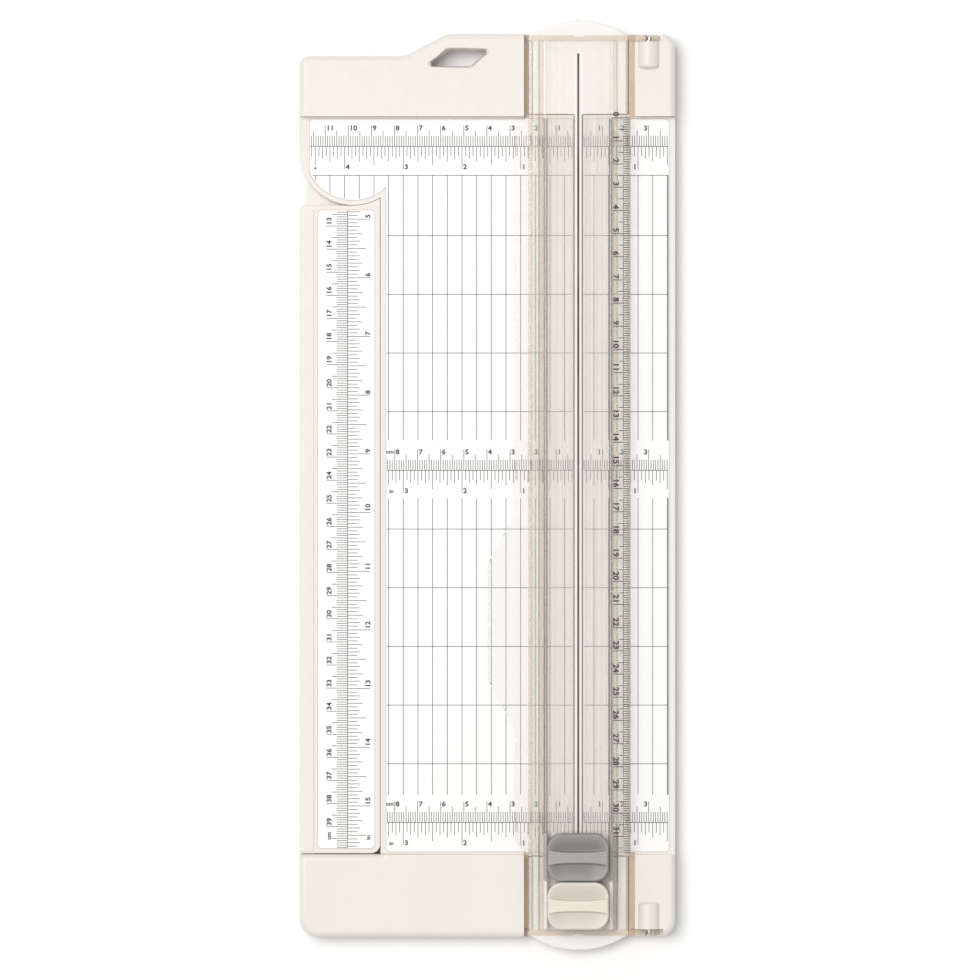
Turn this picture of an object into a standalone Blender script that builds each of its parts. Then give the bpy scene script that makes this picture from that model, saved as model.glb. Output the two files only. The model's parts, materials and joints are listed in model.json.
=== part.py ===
"""A sliding-blade paper trimmer with a fold-out ruler arm, as separate parts.

X runs across the trimmer, Y along its cutting rail and Z up, all in metres. The origin is on the
table, under the middle of the trimmer.
"""

from math import acos, atan2, cos, degrees, pi, radians, sin, sqrt

import bmesh
import bpy

# Gaps and fineness
GAP = 0.0003  # between pieces that touch
THROUGH = 0.005  # how far a cutter runs past the face it opens
ARC_STEP = radians(15)
TURNED_STEPS = 24
PIN_STEPS = 16
SAME_PLACE = 1e-6  # points closer than this are one point

# Base: a shell that is open underneath, with a raised bar across each end
BASE_HALF_WIDTH = 0.0812
BASE_HALF_LENGTH = 0.1952
SKIRT_BOTTOM = 0.0015
DECK_UNDERSIDE = 0.0070
DECK_FLOOR = 0.0090  # where the printed plates lie
DECK_RIM_TOP = 0.0102
DECK_HALF_LENGTH = 0.1596
BAR_TOP = 0.0150
BAR_EDGE_ROUND = 0.0028
ARM_EDGE_ROUND = 0.0006
STRIP_EDGE_ROUND = 0.0004
SHOULDER_Y = 0.1856  # the top bar's lower left stretch
SHOULDER_SLOPE_X = (-0.0357, -0.0175)
SLOPE_RADIUS = 0.0080
WALL = 0.0024
RIB = 0.0020
DECK_ROWS = 6  # of hollows under the deck
DECK_RIB_X = -0.0035
BAR_RIB_X = -0.0300
BAR_POCKET_LEFT = -0.0600
CORNER_RADII = {"top_left": 0.0040, "top_right": 0.0065, "low_right": 0.0070, "low_left": 0.0078}

# Trough and recesses that take the rail
TROUGH_X = (0.0158, 0.0637)
TROUGH_FLOOR = 0.0100
END_FACE = 0.1917  # the bars' end face behind each rail end plate
END_RECESS_X = (0.0158, 0.0760)

# Hang hole, a slanted window in the top bar
HANG_HOLE_CORNERS = ((-0.0271, 0.1811), (-0.0076, 0.1811), (0.0019, 0.1884), (-0.0167, 0.1884))
HANG_HOLE_RADIUS = 0.0012

# Ruler arm and its pivot
PIVOT_RADIUS_OUT = 0.0230  # from the pivot to the base's left edge and to the arm's shoulder
PIVOT_X = PIVOT_RADIUS_OUT - BASE_HALF_WIDTH
PIVOT_Y = 0.1443
ARM_RIGHT = -0.0466
ARM_TIP_Y = GAP - DECK_HALF_LENGTH
ARM_CORNER_RADII = (0.0040, 0.0012, 0.0010)
ARM_POCKETS = 7
TONGUE_HALF_WIDTH = 0.0193
TONGUE_Z = (0.0034, 0.0062)
TONGUE_SHOULDER = 0.0145  # from the pivot down to where the tongue widens
PIVOT_POCKET_RADIUS = 0.0240
PIVOT_BOSS_RADIUS = 0.0040
PIVOT_BOSS_BOTTOM = 0.0031
PIVOT_BORE_RADIUS = 0.0018
PIVOT_BORE_TOP = 0.0072
WASHER_RADIUS = 0.0075
WASHER_Z = (0.0022, 0.0028)
SCREW_HEAD_RADIUS = 0.0036
SCREW_HEAD_Z = (0.0008, 0.0019)
SCREW_SHANK_RADIUS = 0.0015
SCREW_TOP = 0.0069

# Printed plates
PLATE_Z = (DECK_FLOOR + GAP, 0.0100)
PLATE_HALF_LENGTH = 0.1586
PLATE_LEFT = -0.0771
PLATE_RIGHT = 0.0786
PLATE_LOW_LEFT = -0.0439
PLATE_CORNER = 0.0018
PIVOT_LIP = 0.0021  # the base's rim around the pivot corner
ARM_PLATE_X = (-0.0736, -0.0488)
ARM_PLATE_Y = (-0.1572, 0.1192)

# Cutting strip: a bar under the cut line that widens in the end bars, with a half-round grip there
CUT_X = 0.0393
STRIP_HALF_WIDTH = 0.0019
STRIP_Z = (0.0081, 0.0101)
GROOVE_HALF_WIDTH = 0.00045
GROOVE_BOTTOM = 0.0089
GROOVE_HALF_LENGTH = 0.1870
GRIP_RADIUS = 0.0380
GRIP_REACH = 0.2014
GRIP_HALF_WIDTH = 0.0215
STRIP_NECK_Y = DECK_HALF_LENGTH + 0.0010  # where the bar widens
NECK_STEP = 0.0003

# Clear rail
RAIL_X = (0.0176, 0.0618)
RAIL_BOTTOM = 0.0114
RAIL_WALL = 0.0016
RAIL_FLOOR_TOP = 0.0128
RAIL_LEDGE_BOTTOM = 0.0186
RAIL_TOP = 0.0200
RAIL_HALF_LENGTH = 0.1917
RAIL_EDGE_ROUND = 0.0008
TRACK_X = (0.0240, 0.0543)  # inner faces of the track
TRACK_MOUTH_X = (0.0254, 0.0528)  # between the lips that keep the carriages in
SLOT_X = (0.0374, 0.0413)
SLOT_HALF_LENGTH = 0.1873
FLANGE_LEFT = 0.0119
FLANGE_Z = (0.0115, 0.0127)
FLANGE_HALF_LENGTH = 0.1590
FLANGE_CHAMFER = 0.0050
FINGER_TAB_LEFT = 0.0002
FINGER_TAB_Y = (-0.0847, -0.0332)
FINGER_TAB_SLANT = 0.0205
FLANGE_ROUNDS = (0.0020, 0.0030, 0.0080, 0.0090)  # from the chamfered ends to the tab's corners
GRIP_STRIP_WIDTH = 0.0018
GRIP_STRIP_Z = (0.0104, 0.0111)

# Hinge of the rail
HINGE_X = 0.0696
HINGE_Z = 0.0135
KNUCKLE_RADIUS = 0.00485
KNUCKLE_Y = (0.1803, END_FACE)
EYE_RADIUS = 0.0051
EYE_SWEEP = (radians(80), radians(-100))
PIN_RADIUS = 0.0015
PIN_Y = (0.1830, 0.1940)
PIN_BORE_END = 0.1825
END_PLATE_Y = (RAIL_HALF_LENGTH + GAP, 0.1942)

# Carriages: a shoe in the track, a spring-held pad on top and a blade or tip under it
PAD_X = (0.0258, 0.0522)
PAD_Z = (0.0207, 0.0262)
PAD_LENGTH = 0.0205
CARRIAGE_PITCH = 0.0208
CUTTER_Y = -0.16035
SCORER_Y = CUTTER_Y - CARRIAGE_PITCH
PAD_CORNER = 0.0045
PAD_EDGE_ROUND = 0.0012
DISH_HALF_SIZES = (0.0150, 0.0062, 0.0024)
DISH_OFFSET = 0.0056
DISH_RISE = DISH_HALF_SIZES[2] / 3  # of a dish's centre above the pad
SHOE_EDGE_ROUND = 0.0004
SHOE_Z = (0.0131, 0.0183)
SHOE_WINDOW_X = (0.0338, 0.0448)
SHOE_WINDOW_HALF_LENGTH = 0.0072
HOLDER_HALF_LENGTH = 0.0066
HOLDER_SIDE_GAP = 0.0005
HOLDER_Z = (0.0153, PAD_Z[0] - GAP)
HOLDER_SLIT_TOP = 0.0181
BLADE_HALF_THICKNESS = 0.00025
BLADE_HALF_LENGTH = 0.0050
BLADE_TOP = 0.0178
BLADE_HEEL = 0.0142
BLADE_TIP = 0.0112
BLADE_TIP_HALF_LENGTH = 0.0006
TIP_HALF_THICKNESS = 0.00030
TIP_HALF_LENGTH = 0.0035
TIP_NOSE_RADIUS = 0.0016
SPRING_X = (0.0299, 0.0486)
SPRING_RADIUS = 0.0024
SPRING_WIRE = 0.00030
SPRING_TURNS = 4
SPRING_POINTS_A_TURN = 14
SPRING_SEAT = 0.0146
SPRING_POCKET_RADIUS = 0.0031

# Feet
FOOT_RADIUS = 0.0060
FOOT_TOP = SKIRT_BOTTOM - GAP
FOOT_ROUND = 0.0004
BASE_FEET = {
    "foot_top_left": (-0.0710, 0.1766),
    "foot_top_right": (0.0715, 0.1720),
    "foot_mid_left": (-0.0330, 0.0),
    "foot_mid_right": (0.0715, 0.0),
    "foot_low_left": (-0.0710, -0.1790),
    "foot_low_right": (0.0715, -0.1720),
}
ARM_FEET = {"arm_foot_near": (-0.0640, 0.0900), "arm_foot_far": (-0.0640, -0.1460)}
FOOT_SEAT = 0.0075  # half the solid block above each foot

PART_COLLECTION = "paper_trimmer"
CUTTER_COLLECTION = "cutters"


# ---- scene and materials ----


def clear_scene():
    for obj in list(bpy.data.objects):
        bpy.data.objects.remove(obj, do_unlink=True)


def collection(name):
    """The collection of this name, made the first time that it is asked for."""
    found = bpy.data.collections.get(name)
    if found is None:
        found = bpy.data.collections.new(name)
        bpy.context.scene.collection.children.link(found)
    return found


def material(name, color, roughness, metallic=0.0, transmission=0.0):
    found = bpy.data.materials.get(name)
    if found is None:
        found = bpy.data.materials.new(name)
        found.use_nodes = True
        shader = found.node_tree.nodes["Principled BSDF"]
        shader.inputs["Base Color"].default_value = (*color, 1.0)
        shader.inputs["Roughness"].default_value = roughness
        shader.inputs["Metallic"].default_value = metallic
        shader.inputs["Transmission Weight"].default_value = transmission
    return found


def cream_plastic():
    return material("cream_plastic", (0.86, 0.80, 0.73), 0.45)


def printed_white():
    return material("printed_white", (0.95, 0.95, 0.94), 0.40)


def white_plastic():
    return material("white_plastic", (0.92, 0.92, 0.93), 0.40)


def clear_plastic():
    return material("clear_plastic", (0.95, 0.94, 0.91), 0.06, transmission=0.9)


def grey_plastic():
    return material("grey_plastic", (0.31, 0.30, 0.28), 0.45)


def pale_plastic():
    return material("pale_plastic", (0.78, 0.73, 0.62), 0.45)


def grip_rubber():
    return material("grip_rubber", (0.28, 0.27, 0.26), 0.70)


def foot_rubber():
    return material("foot_rubber", (0.10, 0.10, 0.10), 0.80)


def steel():
    return material("steel", (0.60, 0.61, 0.63), 0.28, metallic=1.0)


# ---- making and changing solids ----


def place_mesh(name, mesh, group, location=(0, 0, 0)):
    obj = bpy.data.objects.new(name, mesh)
    obj.location = location
    collection(group).objects.link(obj)
    return obj


def as_cutter(obj):
    obj.hide_render = True
    obj.display_type = "WIRE"
    return obj


def box(name, low, high, group=CUTTER_COLLECTION):
    """A block between two opposite corners, with its origin at its middle."""
    middle = [(a + b) / 2 for a, b in zip(low, high)]
    size = [b - a for a, b in zip(low, high)]
    bm = bmesh.new()
    bmesh.ops.create_cube(bm, size=1)
    bmesh.ops.scale(bm, vec=size, verts=bm.verts)
    mesh = bpy.data.meshes.new(name)
    bm.to_mesh(mesh)
    bm.free()
    obj = place_mesh(name, mesh, group, middle)
    return as_cutter(obj) if group == CUTTER_COLLECTION else obj


def cylinder(name, radius, start, end, segments=TURNED_STEPS, group=CUTTER_COLLECTION):
    """A round bar between two points that differ along Y or along Z only."""
    along_y = start[1] != end[1]
    depth = abs(end[1] - start[1] if along_y else end[2] - start[2])
    bm = bmesh.new()
    bmesh.ops.create_cone(
        bm, cap_ends=True, segments=segments, radius1=radius, radius2=radius, depth=depth
    )
    mesh = bpy.data.meshes.new(name)
    bm.to_mesh(mesh)
    bm.free()
    obj = place_mesh(name, mesh, group, [(a + b) / 2 for a, b in zip(start, end)])
    obj.rotation_euler.x = pi / 2 if along_y else 0
    return as_cutter(obj) if group == CUTTER_COLLECTION else obj


def arc(center, radius, start, end):
    """Points on an arc between two angles in radians, both ends included."""
    steps = max(1, round(abs(end - start) / ARC_STEP))
    angles = (start + (end - start) * i / steps for i in range(steps + 1))
    return [(center[0] + radius * cos(a), center[1] + radius * sin(a)) for a in angles]


def rounded(corners):
    """An outline's points from its corners, each (x, y) or (x, y, radius of its rounding)."""
    points = []
    for i, corner in enumerate(corners):
        x, y, radius = (*corner, 0.0)[:3]
        if not radius:
            points.append((x, y))
            continue
        before, after = corners[i - 1], corners[(i + 1) % len(corners)]
        into = atan2(before[1] - y, before[0] - x)
        out = atan2(after[1] - y, after[0] - x)
        half = acos(max(-1.0, min(1.0, cos(out - into)))) / 2
        turn = atan2(sin(out - into), cos(out - into))
        middle = into + turn / 2
        reach = radius / sin(half)
        center = (x + reach * cos(middle), y + reach * sin(middle))
        sweep = pi - 2 * half
        side = 1 if turn > 0 else -1
        start = into - side * pi / 2
        points += arc(center, radius, start, start - side * sweep)
    return points


def flat_outline(name, points, low, high, upright=False, group=CUTTER_COLLECTION):
    """A flat solid of an outline in XY between two heights, or in XZ between two places on Y."""
    curve = bpy.data.curves.new(name, "CURVE")
    curve.dimensions = "2D"
    curve.fill_mode = "BOTH"
    curve.extrude = (high - low) / 2
    spline = curve.splines.new("POLY")
    spline.points.add(len(points) - 1)
    for point, (x, y) in zip(spline.points, points):
        point.co = (x, y, 0, 1)
    spline.use_cyclic_u = True
    guide = bpy.data.objects.new(name, curve)
    collection(group).objects.link(guide)
    middle = (low + high) / 2
    guide.location = (0, middle, 0) if upright else (0, 0, middle)
    guide.rotation_euler.x = pi / 2 if upright else 0
    obj = mesh_of(guide, group)
    return as_cutter(obj) if group == CUTTER_COLLECTION else obj


def mesh_of(guide, group):
    """Turns a curve into a closed mesh object with the same name and place."""
    bpy.context.view_layer.update()
    evaluated = guide.evaluated_get(bpy.context.evaluated_depsgraph_get())
    mesh = bpy.data.meshes.new_from_object(evaluated)
    bm = bmesh.new()
    bm.from_mesh(mesh)
    bmesh.ops.remove_doubles(bm, verts=bm.verts, dist=SAME_PLACE)
    bmesh.ops.recalc_face_normals(bm, faces=bm.faces)
    bm.to_mesh(mesh)
    bm.free()
    name, matrix, curve = guide.name, guide.matrix_world.copy(), guide.data
    bpy.data.objects.remove(guide)
    bpy.data.curves.remove(curve)
    obj = place_mesh(name, mesh, group)
    obj.matrix_world = matrix
    return obj


def combine(obj, other, operation):
    boolean = obj.modifiers.new(other.name, "BOOLEAN")
    boolean.operation = operation
    boolean.object = other
    boolean.solver = "EXACT"


def cut(obj, *cutters):
    for cutter in cutters:
        combine(obj, cutter, "DIFFERENCE")


def add(obj, *extras):
    for extra in extras:
        combine(obj, extra, "UNION")


def round_top(obj, width, segments):
    """Rounds the edges around a flat solid's top face."""
    mesh = obj.data
    top = max(v.co.z for v in mesh.vertices)
    weights = mesh.attributes.new("bevel_weight_edge", "FLOAT", "EDGE")
    for edge in mesh.edges:
        is_top = all(abs(mesh.vertices[i].co.z - top) < SAME_PLACE for i in edge.vertices)
        around = is_top and on_outline(mesh, edge)
        weights.data[edge.index].value = 1.0 if around else 0.0
    bevel = obj.modifiers.new("Top edge", "BEVEL")
    bevel.limit_method = "WEIGHT"
    bevel.width = width
    bevel.segments = segments


def on_outline(mesh, edge):
    """True if a top edge also borders one of the solid's upright faces."""
    key = tuple(sorted(edge.vertices))
    uprights = (p for p in mesh.polygons if abs(p.normal.z) < 0.5)
    return any(key in (tuple(sorted(k)) for k in p.edge_keys) for p in uprights)


def soften(obj, width, segments=1):
    """Rounds every sharp edge of a solid."""
    bevel = obj.modifiers.new("Edges", "BEVEL")
    bevel.limit_method = "ANGLE"
    bevel.angle_limit = radians(40)
    bevel.width = width
    bevel.segments = segments


def turned(name, profile, place, ring=False):
    """A solid turned about an upright axis, from (radius, height) points, top to bottom.

    A ring's profile is a closed loop that stays off the axis.
    """
    mesh = bpy.data.meshes.new(name)
    edges = [(i, i + 1) for i in range(len(profile) - 1)]
    if ring:
        edges.append((len(profile) - 1, 0))
    mesh.from_pydata([(r, 0, z) for r, z in profile], edges, [])
    obj = place_mesh(name, mesh, PART_COLLECTION, (*place, 0))
    screw = obj.modifiers.new("Turn", "SCREW")
    screw.steps = screw.render_steps = TURNED_STEPS
    screw.use_merge_vertices = True
    screw.merge_threshold = SAME_PLACE
    screw.use_smooth_shade = True
    return obj


def finish_part(obj, finish, smooth=False):
    """Gives a part its material, and its shading."""
    obj.data.materials.clear()
    obj.data.materials.append(finish)
    if smooth:
        obj.data.shade_smooth()
        obj.data.set_sharp_from_angle(angle=radians(35))
    return obj


def carry(obj, parent):
    """Parents a part to an empty without moving it."""
    bpy.context.view_layer.update()
    obj.parent = parent
    obj.matrix_parent_inverse = parent.matrix_world.inverted()


def joint_frame(name, place):
    """An empty on a joint's axis, which carries the pieces that the joint moves."""
    empty = bpy.data.objects.new(name, None)
    empty.location = place
    collection(PART_COLLECTION).objects.link(empty)
    bpy.context.view_layer.update()
    return empty


# ---- base ----


def base_outline():
    """The base's plan: a slope in its top edge, and a notch on its left that takes the arm."""
    w, h = BASE_HALF_WIDTH, BASE_HALF_LENGTH
    pivot = (PIVOT_X, PIVOT_Y)
    recess_right = ARM_RIGHT + GAP
    drop = acos((recess_right - PIVOT_X) / PIVOT_RADIUS_OUT)
    slope_low, slope_high = SHOULDER_SLOPE_X
    return rounded(
        [
            (-w, SHOULDER_Y, CORNER_RADII["top_left"]),
            (slope_low, SHOULDER_Y, SLOPE_RADIUS),
            (slope_high, h, SLOPE_RADIUS),
            (w, h, CORNER_RADII["top_right"]),
            (w, -h, CORNER_RADII["low_right"]),
            (-w, -h, CORNER_RADII["low_left"]),
            (-w, -DECK_HALF_LENGTH),
            (recess_right, -DECK_HALF_LENGTH),
            *arc(pivot, PIVOT_RADIUS_OUT, -drop, -pi),
        ]
    )


def pockets():
    """The hollows under the base: between the deck's ribs, and inside the end bars."""
    low = SKIRT_BOTTOM - THROUGH
    reach, edge = DECK_HALF_LENGTH - WALL, BASE_HALF_WIDTH - WALL
    spine_left, spine_right = (CUT_X + s * (STRIP_HALF_WIDTH + GAP + 1.5 * WALL) for s in (-1, 1))
    rib_left, rib_right = (DECK_RIB_X + s * RIB / 2 for s in (-1, 1))
    columns = ((PLATE_LOW_LEFT + WALL, rib_left), (rib_right, spine_left), (spine_right, edge))
    pitch = 2 * reach / DECK_ROWS
    made = []
    # One pocket for each field between the ribs
    for column, (left, right) in enumerate(columns):
        for row in range(DECK_ROWS):
            start = -reach + row * pitch
            corner, opposite = (left, start, low), (right, start + pitch - RIB, DECK_UNDERSIDE)
            made.append(box(f"deck_pocket_{column}_{row}", corner, opposite))
    near, far = DECK_HALF_LENGTH + WALL, END_FACE - 2 * WALL
    shoulder, hole_side = SHOULDER_Y - 2 * WALL, HANG_HOLE_CORNERS[0][1] - WALL
    left_wall, trough_left, trough_right = BAR_POCKET_LEFT, TROUGH_X[0] + WALL, TROUGH_X[1] - WALL
    rib_left, rib_right = (BAR_RIB_X + s * RIB / 2 for s in (-1, 1))
    bar_ceiling, trough_ceiling = BAR_TOP - WALL, STRIP_Z[0] - GAP - RIB
    # Each field's left and right sides, the outer ends of the top and the low one, and its ceiling
    fields = (
        (left_wall, rib_left, shoulder, far, bar_ceiling),
        (rib_right, TROUGH_X[0] - WALL, hole_side, far, bar_ceiling),
        (trough_left, spine_left, far, far, trough_ceiling),
        (spine_right, trough_right, far, far, trough_ceiling),
    )
    for i, (left, right, top_end, low_end, ceiling) in enumerate(fields):
        top_corners = (left, near, low), (right, top_end, ceiling)
        low_corners = (left, -low_end, low), (right, -near, ceiling)
        made.append(box(f"bar_pocket_top_{i}", *top_corners))
        made.append(box(f"bar_pocket_low_{i}", *low_corners))
    return made


def trough_cutters():
    """Room for the rail along the deck and through both bars, its end plates and the strip."""
    long, high = BASE_HALF_LENGTH + THROUGH, BAR_TOP + THROUGH
    (left, right), (recess_left, recess_right) = TROUGH_X, END_RECESS_X
    strip_left, strip_right = (CUT_X + s * (STRIP_HALF_WIDTH + GAP) for s in (-1, 1))
    wide_left, wide_right = (CUT_X + s * (GRIP_HALF_WIDTH + GAP) for s in (-1, 1))
    strip_floor = STRIP_Z[0] - GAP
    made = [
        box("rail_trough", (left, -long, TROUGH_FLOOR), (right, long, high)),
        box("strip_groove", (strip_left, -long, strip_floor), (strip_right, long, high)),
    ]
    for end, sign in (("top", 1), ("low", -1)):
        wide_ys = sorted((sign * (STRIP_NECK_Y - GAP), sign * long))
        low_corner, high_corner = (wide_left, wide_ys[0], strip_floor), (wide_right, wide_ys[1], high)
        made.append(box(f"strip_seat_{end}", low_corner, high_corner))
        ys = sorted((sign * END_FACE, sign * long))
        low_corner, high_corner = (recess_left, ys[0], strip_floor), (recess_right, ys[1], high)
        made.append(box(f"end_recess_{end}", low_corner, high_corner))
    return made


def knuckle(end, sign):
    """The round boss that holds a hinge pin, on top of an end bar, and the bore in it."""
    near, far = (sign * y for y in KNUCKLE_Y)
    start, stop = (HINGE_X, near, HINGE_Z), (HINGE_X, far, HINGE_Z)
    boss = cylinder(f"knuckle_{end}", KNUCKLE_RADIUS, start, stop)
    inside, outside = sign * PIN_BORE_END, sign * (END_FACE + THROUGH)
    bore_start, bore_stop = (HINGE_X, inside, HINGE_Z), (HINGE_X, outside, HINGE_Z)
    bore = cylinder(f"knuckle_bore_{end}", PIN_RADIUS + GAP, bore_start, bore_stop, segments=PIN_STEPS)
    return boss, bore


def base_shell():
    group = PART_COLLECTION
    base = flat_outline("base_shell", base_outline(), SKIRT_BOTTOM, BAR_TOP, group=group)
    round_top(base, BAR_EDGE_ROUND, 3)
    wide = BASE_HALF_WIDTH + THROUGH
    deck_low = (-wide, -DECK_HALF_LENGTH, DECK_RIM_TOP)
    deck_high = (wide, DECK_HALF_LENGTH, BAR_TOP + THROUGH)
    bed = flat_outline("plate_recess", plate_bed_outline(), DECK_FLOOR, DECK_RIM_TOP + THROUGH)
    hole = rounded([(*corner, HANG_HOLE_RADIUS) for corner in HANG_HOLE_CORNERS])
    window = flat_outline("hang_hole", hole, SKIRT_BOTTOM - THROUGH, BAR_TOP + THROUGH)
    cut(base, box("deck_clearance", deck_low, deck_high), bed, window)
    cut(base, *trough_cutters(), *pockets())
    low = SKIRT_BOTTOM - THROUGH
    pivot = (PIVOT_X, PIVOT_Y)
    room = cylinder(
        "pivot_room", PIVOT_POCKET_RADIUS, (*pivot, low), (*pivot, DECK_UNDERSIDE), segments=48
    )
    way_low = (-wide, PIVOT_Y, low)
    way_high = (PIVOT_X, PIVOT_Y + TONGUE_HALF_WIDTH + 2 * GAP, DECK_UNDERSIDE)
    boss_top = (DECK_UNDERSIDE + DECK_FLOOR) / 2
    boss = cylinder("pivot_boss", PIVOT_BOSS_RADIUS, (*pivot, PIVOT_BOSS_BOTTOM), (*pivot, boss_top))
    bore = cylinder("pivot_bore", PIVOT_BORE_RADIUS, (*pivot, low), (*pivot, PIVOT_BORE_TOP))
    cut(base, room, box("tongue_way", way_low, way_high))
    seated = {name: place for name, place in BASE_FEET.items() if abs(place[1]) < PLATE_HALF_LENGTH}
    add(base, boss, *foot_seats(seated))
    cut(base, bore)
    for end, sign in (("top", 1), ("low", -1)):
        lug, pin_bore = knuckle(end, sign)
        add(base, lug)
        cut(base, pin_bore)
    return finish_part(base, cream_plastic(), smooth=True)


# ---- printed plates and cutting strip ----


def plate_bed_outline(grow=GAP):
    """The recess in the deck that both printed plates share."""
    left, right, low_left = PLATE_LEFT - grow, PLATE_RIGHT + grow, PLATE_LOW_LEFT - grow
    long, corner = PLATE_HALF_LENGTH + grow, PLATE_CORNER + grow
    return left_plate_outline(left, right, low_left, long, corner, PIVOT_LIP - grow, corner)


def left_plate_outline(left, right, low_left, long, corner, lip, right_corner=0.0):
    """A plate's plan, which leaves out the arm's notch and follows the pivot's round corner."""
    radius = PIVOT_RADIUS_OUT - lip
    first = -acos((low_left - PIVOT_X) / radius)
    last = -pi + acos((PIVOT_X - left) / radius)
    return rounded(
        [
            (left, long, corner),
            (right, long, right_corner),
            (right, -long, right_corner),
            (low_left, -long, corner),
            *arc((PIVOT_X, PIVOT_Y), radius, first, last),
        ]
    )


def scale_plates():
    edge = STRIP_HALF_WIDTH + GAP
    left = left_plate_outline(
        PLATE_LEFT, CUT_X - edge, PLATE_LOW_LEFT, PLATE_HALF_LENGTH, PLATE_CORNER, PIVOT_LIP
    )
    inner, outer, long = CUT_X + edge, PLATE_RIGHT, PLATE_HALF_LENGTH
    corners = [
        (inner, long),
        (outer, long, PLATE_CORNER),
        (outer, -long, PLATE_CORNER),
        (inner, -long),
    ]
    for name, outline in (("scale_plate_left", left), ("scale_plate_right", rounded(corners))):
        plate = flat_outline(name, outline, *PLATE_Z, group=PART_COLLECTION)
        finish_part(plate, printed_white())


def cutting_strip():
    """One outline: the wide piece at each end, round at its grip, and the bar that joins them."""
    center_y = GRIP_REACH - GRIP_RADIUS
    half_sweep = acos(sqrt(1 - (GRIP_HALF_WIDTH / GRIP_RADIUS) ** 2))
    top = arc((CUT_X, center_y), GRIP_RADIUS, pi / 2 + half_sweep, pi / 2 - half_sweep)
    side, bar, neck = GRIP_HALF_WIDTH, STRIP_HALF_WIDTH, STRIP_NECK_Y
    right = [
        (CUT_X + side, neck + NECK_STEP),
        (CUT_X + bar, neck),
        (CUT_X + bar, -neck),
        (CUT_X + side, -neck - NECK_STEP),
    ]
    low = [(x, -y) for x, y in reversed(top)]
    left = [(2 * CUT_X - x, y) for x, y in reversed(right)]
    strip = flat_outline("cutting_strip", top + right + low + left, *STRIP_Z, group=PART_COLLECTION)
    round_top(strip, STRIP_EDGE_ROUND, 1)
    half = GROOVE_HALF_WIDTH
    low_corner = (CUT_X - half, -GROOVE_HALF_LENGTH, GROOVE_BOTTOM)
    high_corner = (CUT_X + half, GROOVE_HALF_LENGTH, STRIP_Z[1] + THROUGH)
    cut(strip, box("blade_groove", low_corner, high_corner))
    finish_part(strip, white_plastic())


# ---- ruler arm ----


def arm_outline():
    """The arm's plan, with the hollow curve that fits round the base's pivot corner."""
    radius = PIVOT_RADIUS_OUT + GAP
    shoulder = PIVOT_Y - radius
    meet = acos((ARM_RIGHT - PIVOT_X) / radius)
    tip_inner, tip_outer, shoulder_corner = ARM_CORNER_RADII
    return rounded(
        [
            (ARM_RIGHT, ARM_TIP_Y, tip_inner),
            (-BASE_HALF_WIDTH, ARM_TIP_Y, tip_outer),
            (-BASE_HALF_WIDTH, shoulder, shoulder_corner),
            *arc((PIVOT_X, PIVOT_Y), radius, -pi / 2, -meet),
        ]
    )


def arm_pockets():
    low, ceiling = SKIRT_BOTTOM - THROUGH, DECK_UNDERSIDE
    left, right = WALL - BASE_HALF_WIDTH, ARM_RIGHT - WALL
    start, stop = ARM_TIP_Y + 3 * WALL, PIVOT_Y - PIVOT_RADIUS_OUT - 3 * WALL
    pitch = (stop - start) / ARM_POCKETS
    made = []
    for i in range(ARM_POCKETS):
        y = start + i * pitch
        made.append(box(f"arm_pocket_{i}", (left, y, low), (right, y + pitch - RIB, ceiling)))
    return made


def foot_seats(places):
    """Solid blocks under the deck, for the feet that would otherwise sit on a rib or a hollow."""
    made = []
    for name, (x, y) in places.items():
        low = (x - FOOT_SEAT, y - FOOT_SEAT, SKIRT_BOTTOM)
        high = (x + FOOT_SEAT, y + FOOT_SEAT, (DECK_UNDERSIDE + DECK_FLOOR) / 2)
        made.append(box(f"seat_{name}", low, high))
    return made


def ruler_arm(pivot_frame):
    arm = flat_outline(
        "ruler_arm", arm_outline(), SKIRT_BOTTOM, DECK_RIM_TOP, group=PART_COLLECTION
    )
    round_top(arm, ARM_EDGE_ROUND, 2)
    (left, right), (low, high) = ARM_PLATE_X, ARM_PLATE_Y
    grown = [
        (x, y, PLATE_CORNER)
        for x, y in (
            (left - GAP, low - GAP),
            (right + GAP, low - GAP),
            (right + GAP, high + GAP),
            (left - GAP, high + GAP),
        )
    ]
    top = DECK_RIM_TOP + THROUGH
    cut(arm, flat_outline("arm_plate_recess", rounded(grown), DECK_FLOOR, top), *arm_pockets())
    add(arm, *foot_seats(ARM_FEET))
    root = PIVOT_Y - PIVOT_RADIUS_OUT - WALL
    right_side = ARM_RIGHT - RIB
    round_end = arc((PIVOT_X, PIVOT_Y), TONGUE_HALF_WIDTH, pi, 0)
    shoulder, left_side = PIVOT_Y - TONGUE_SHOULDER, PIVOT_X - TONGUE_HALF_WIDTH
    leg = [(right_side, shoulder), (right_side, root), (left_side, root)]
    tongue = flat_outline("arm_tongue", round_end + leg, *TONGUE_Z)
    pivot = (PIVOT_X, PIVOT_Y)
    hole = cylinder(
        "tongue_hole",
        PIVOT_BOSS_RADIUS + GAP,
        (*pivot, TONGUE_Z[0] - THROUGH),
        (*pivot, TONGUE_Z[1] + THROUGH),
    )
    add(arm, tongue)
    cut(arm, hole)
    finish_part(arm, cream_plastic(), smooth=True)
    carry(arm, pivot_frame)
    corners = [(left, low), (right, low), (right, high), (left, high)]
    outline = rounded([(x, y, PLATE_CORNER) for x, y in corners])
    plate = flat_outline("arm_scale_plate", outline, *PLATE_Z, group=PART_COLLECTION)
    finish_part(plate, printed_white())
    carry(plate, pivot_frame)


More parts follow.
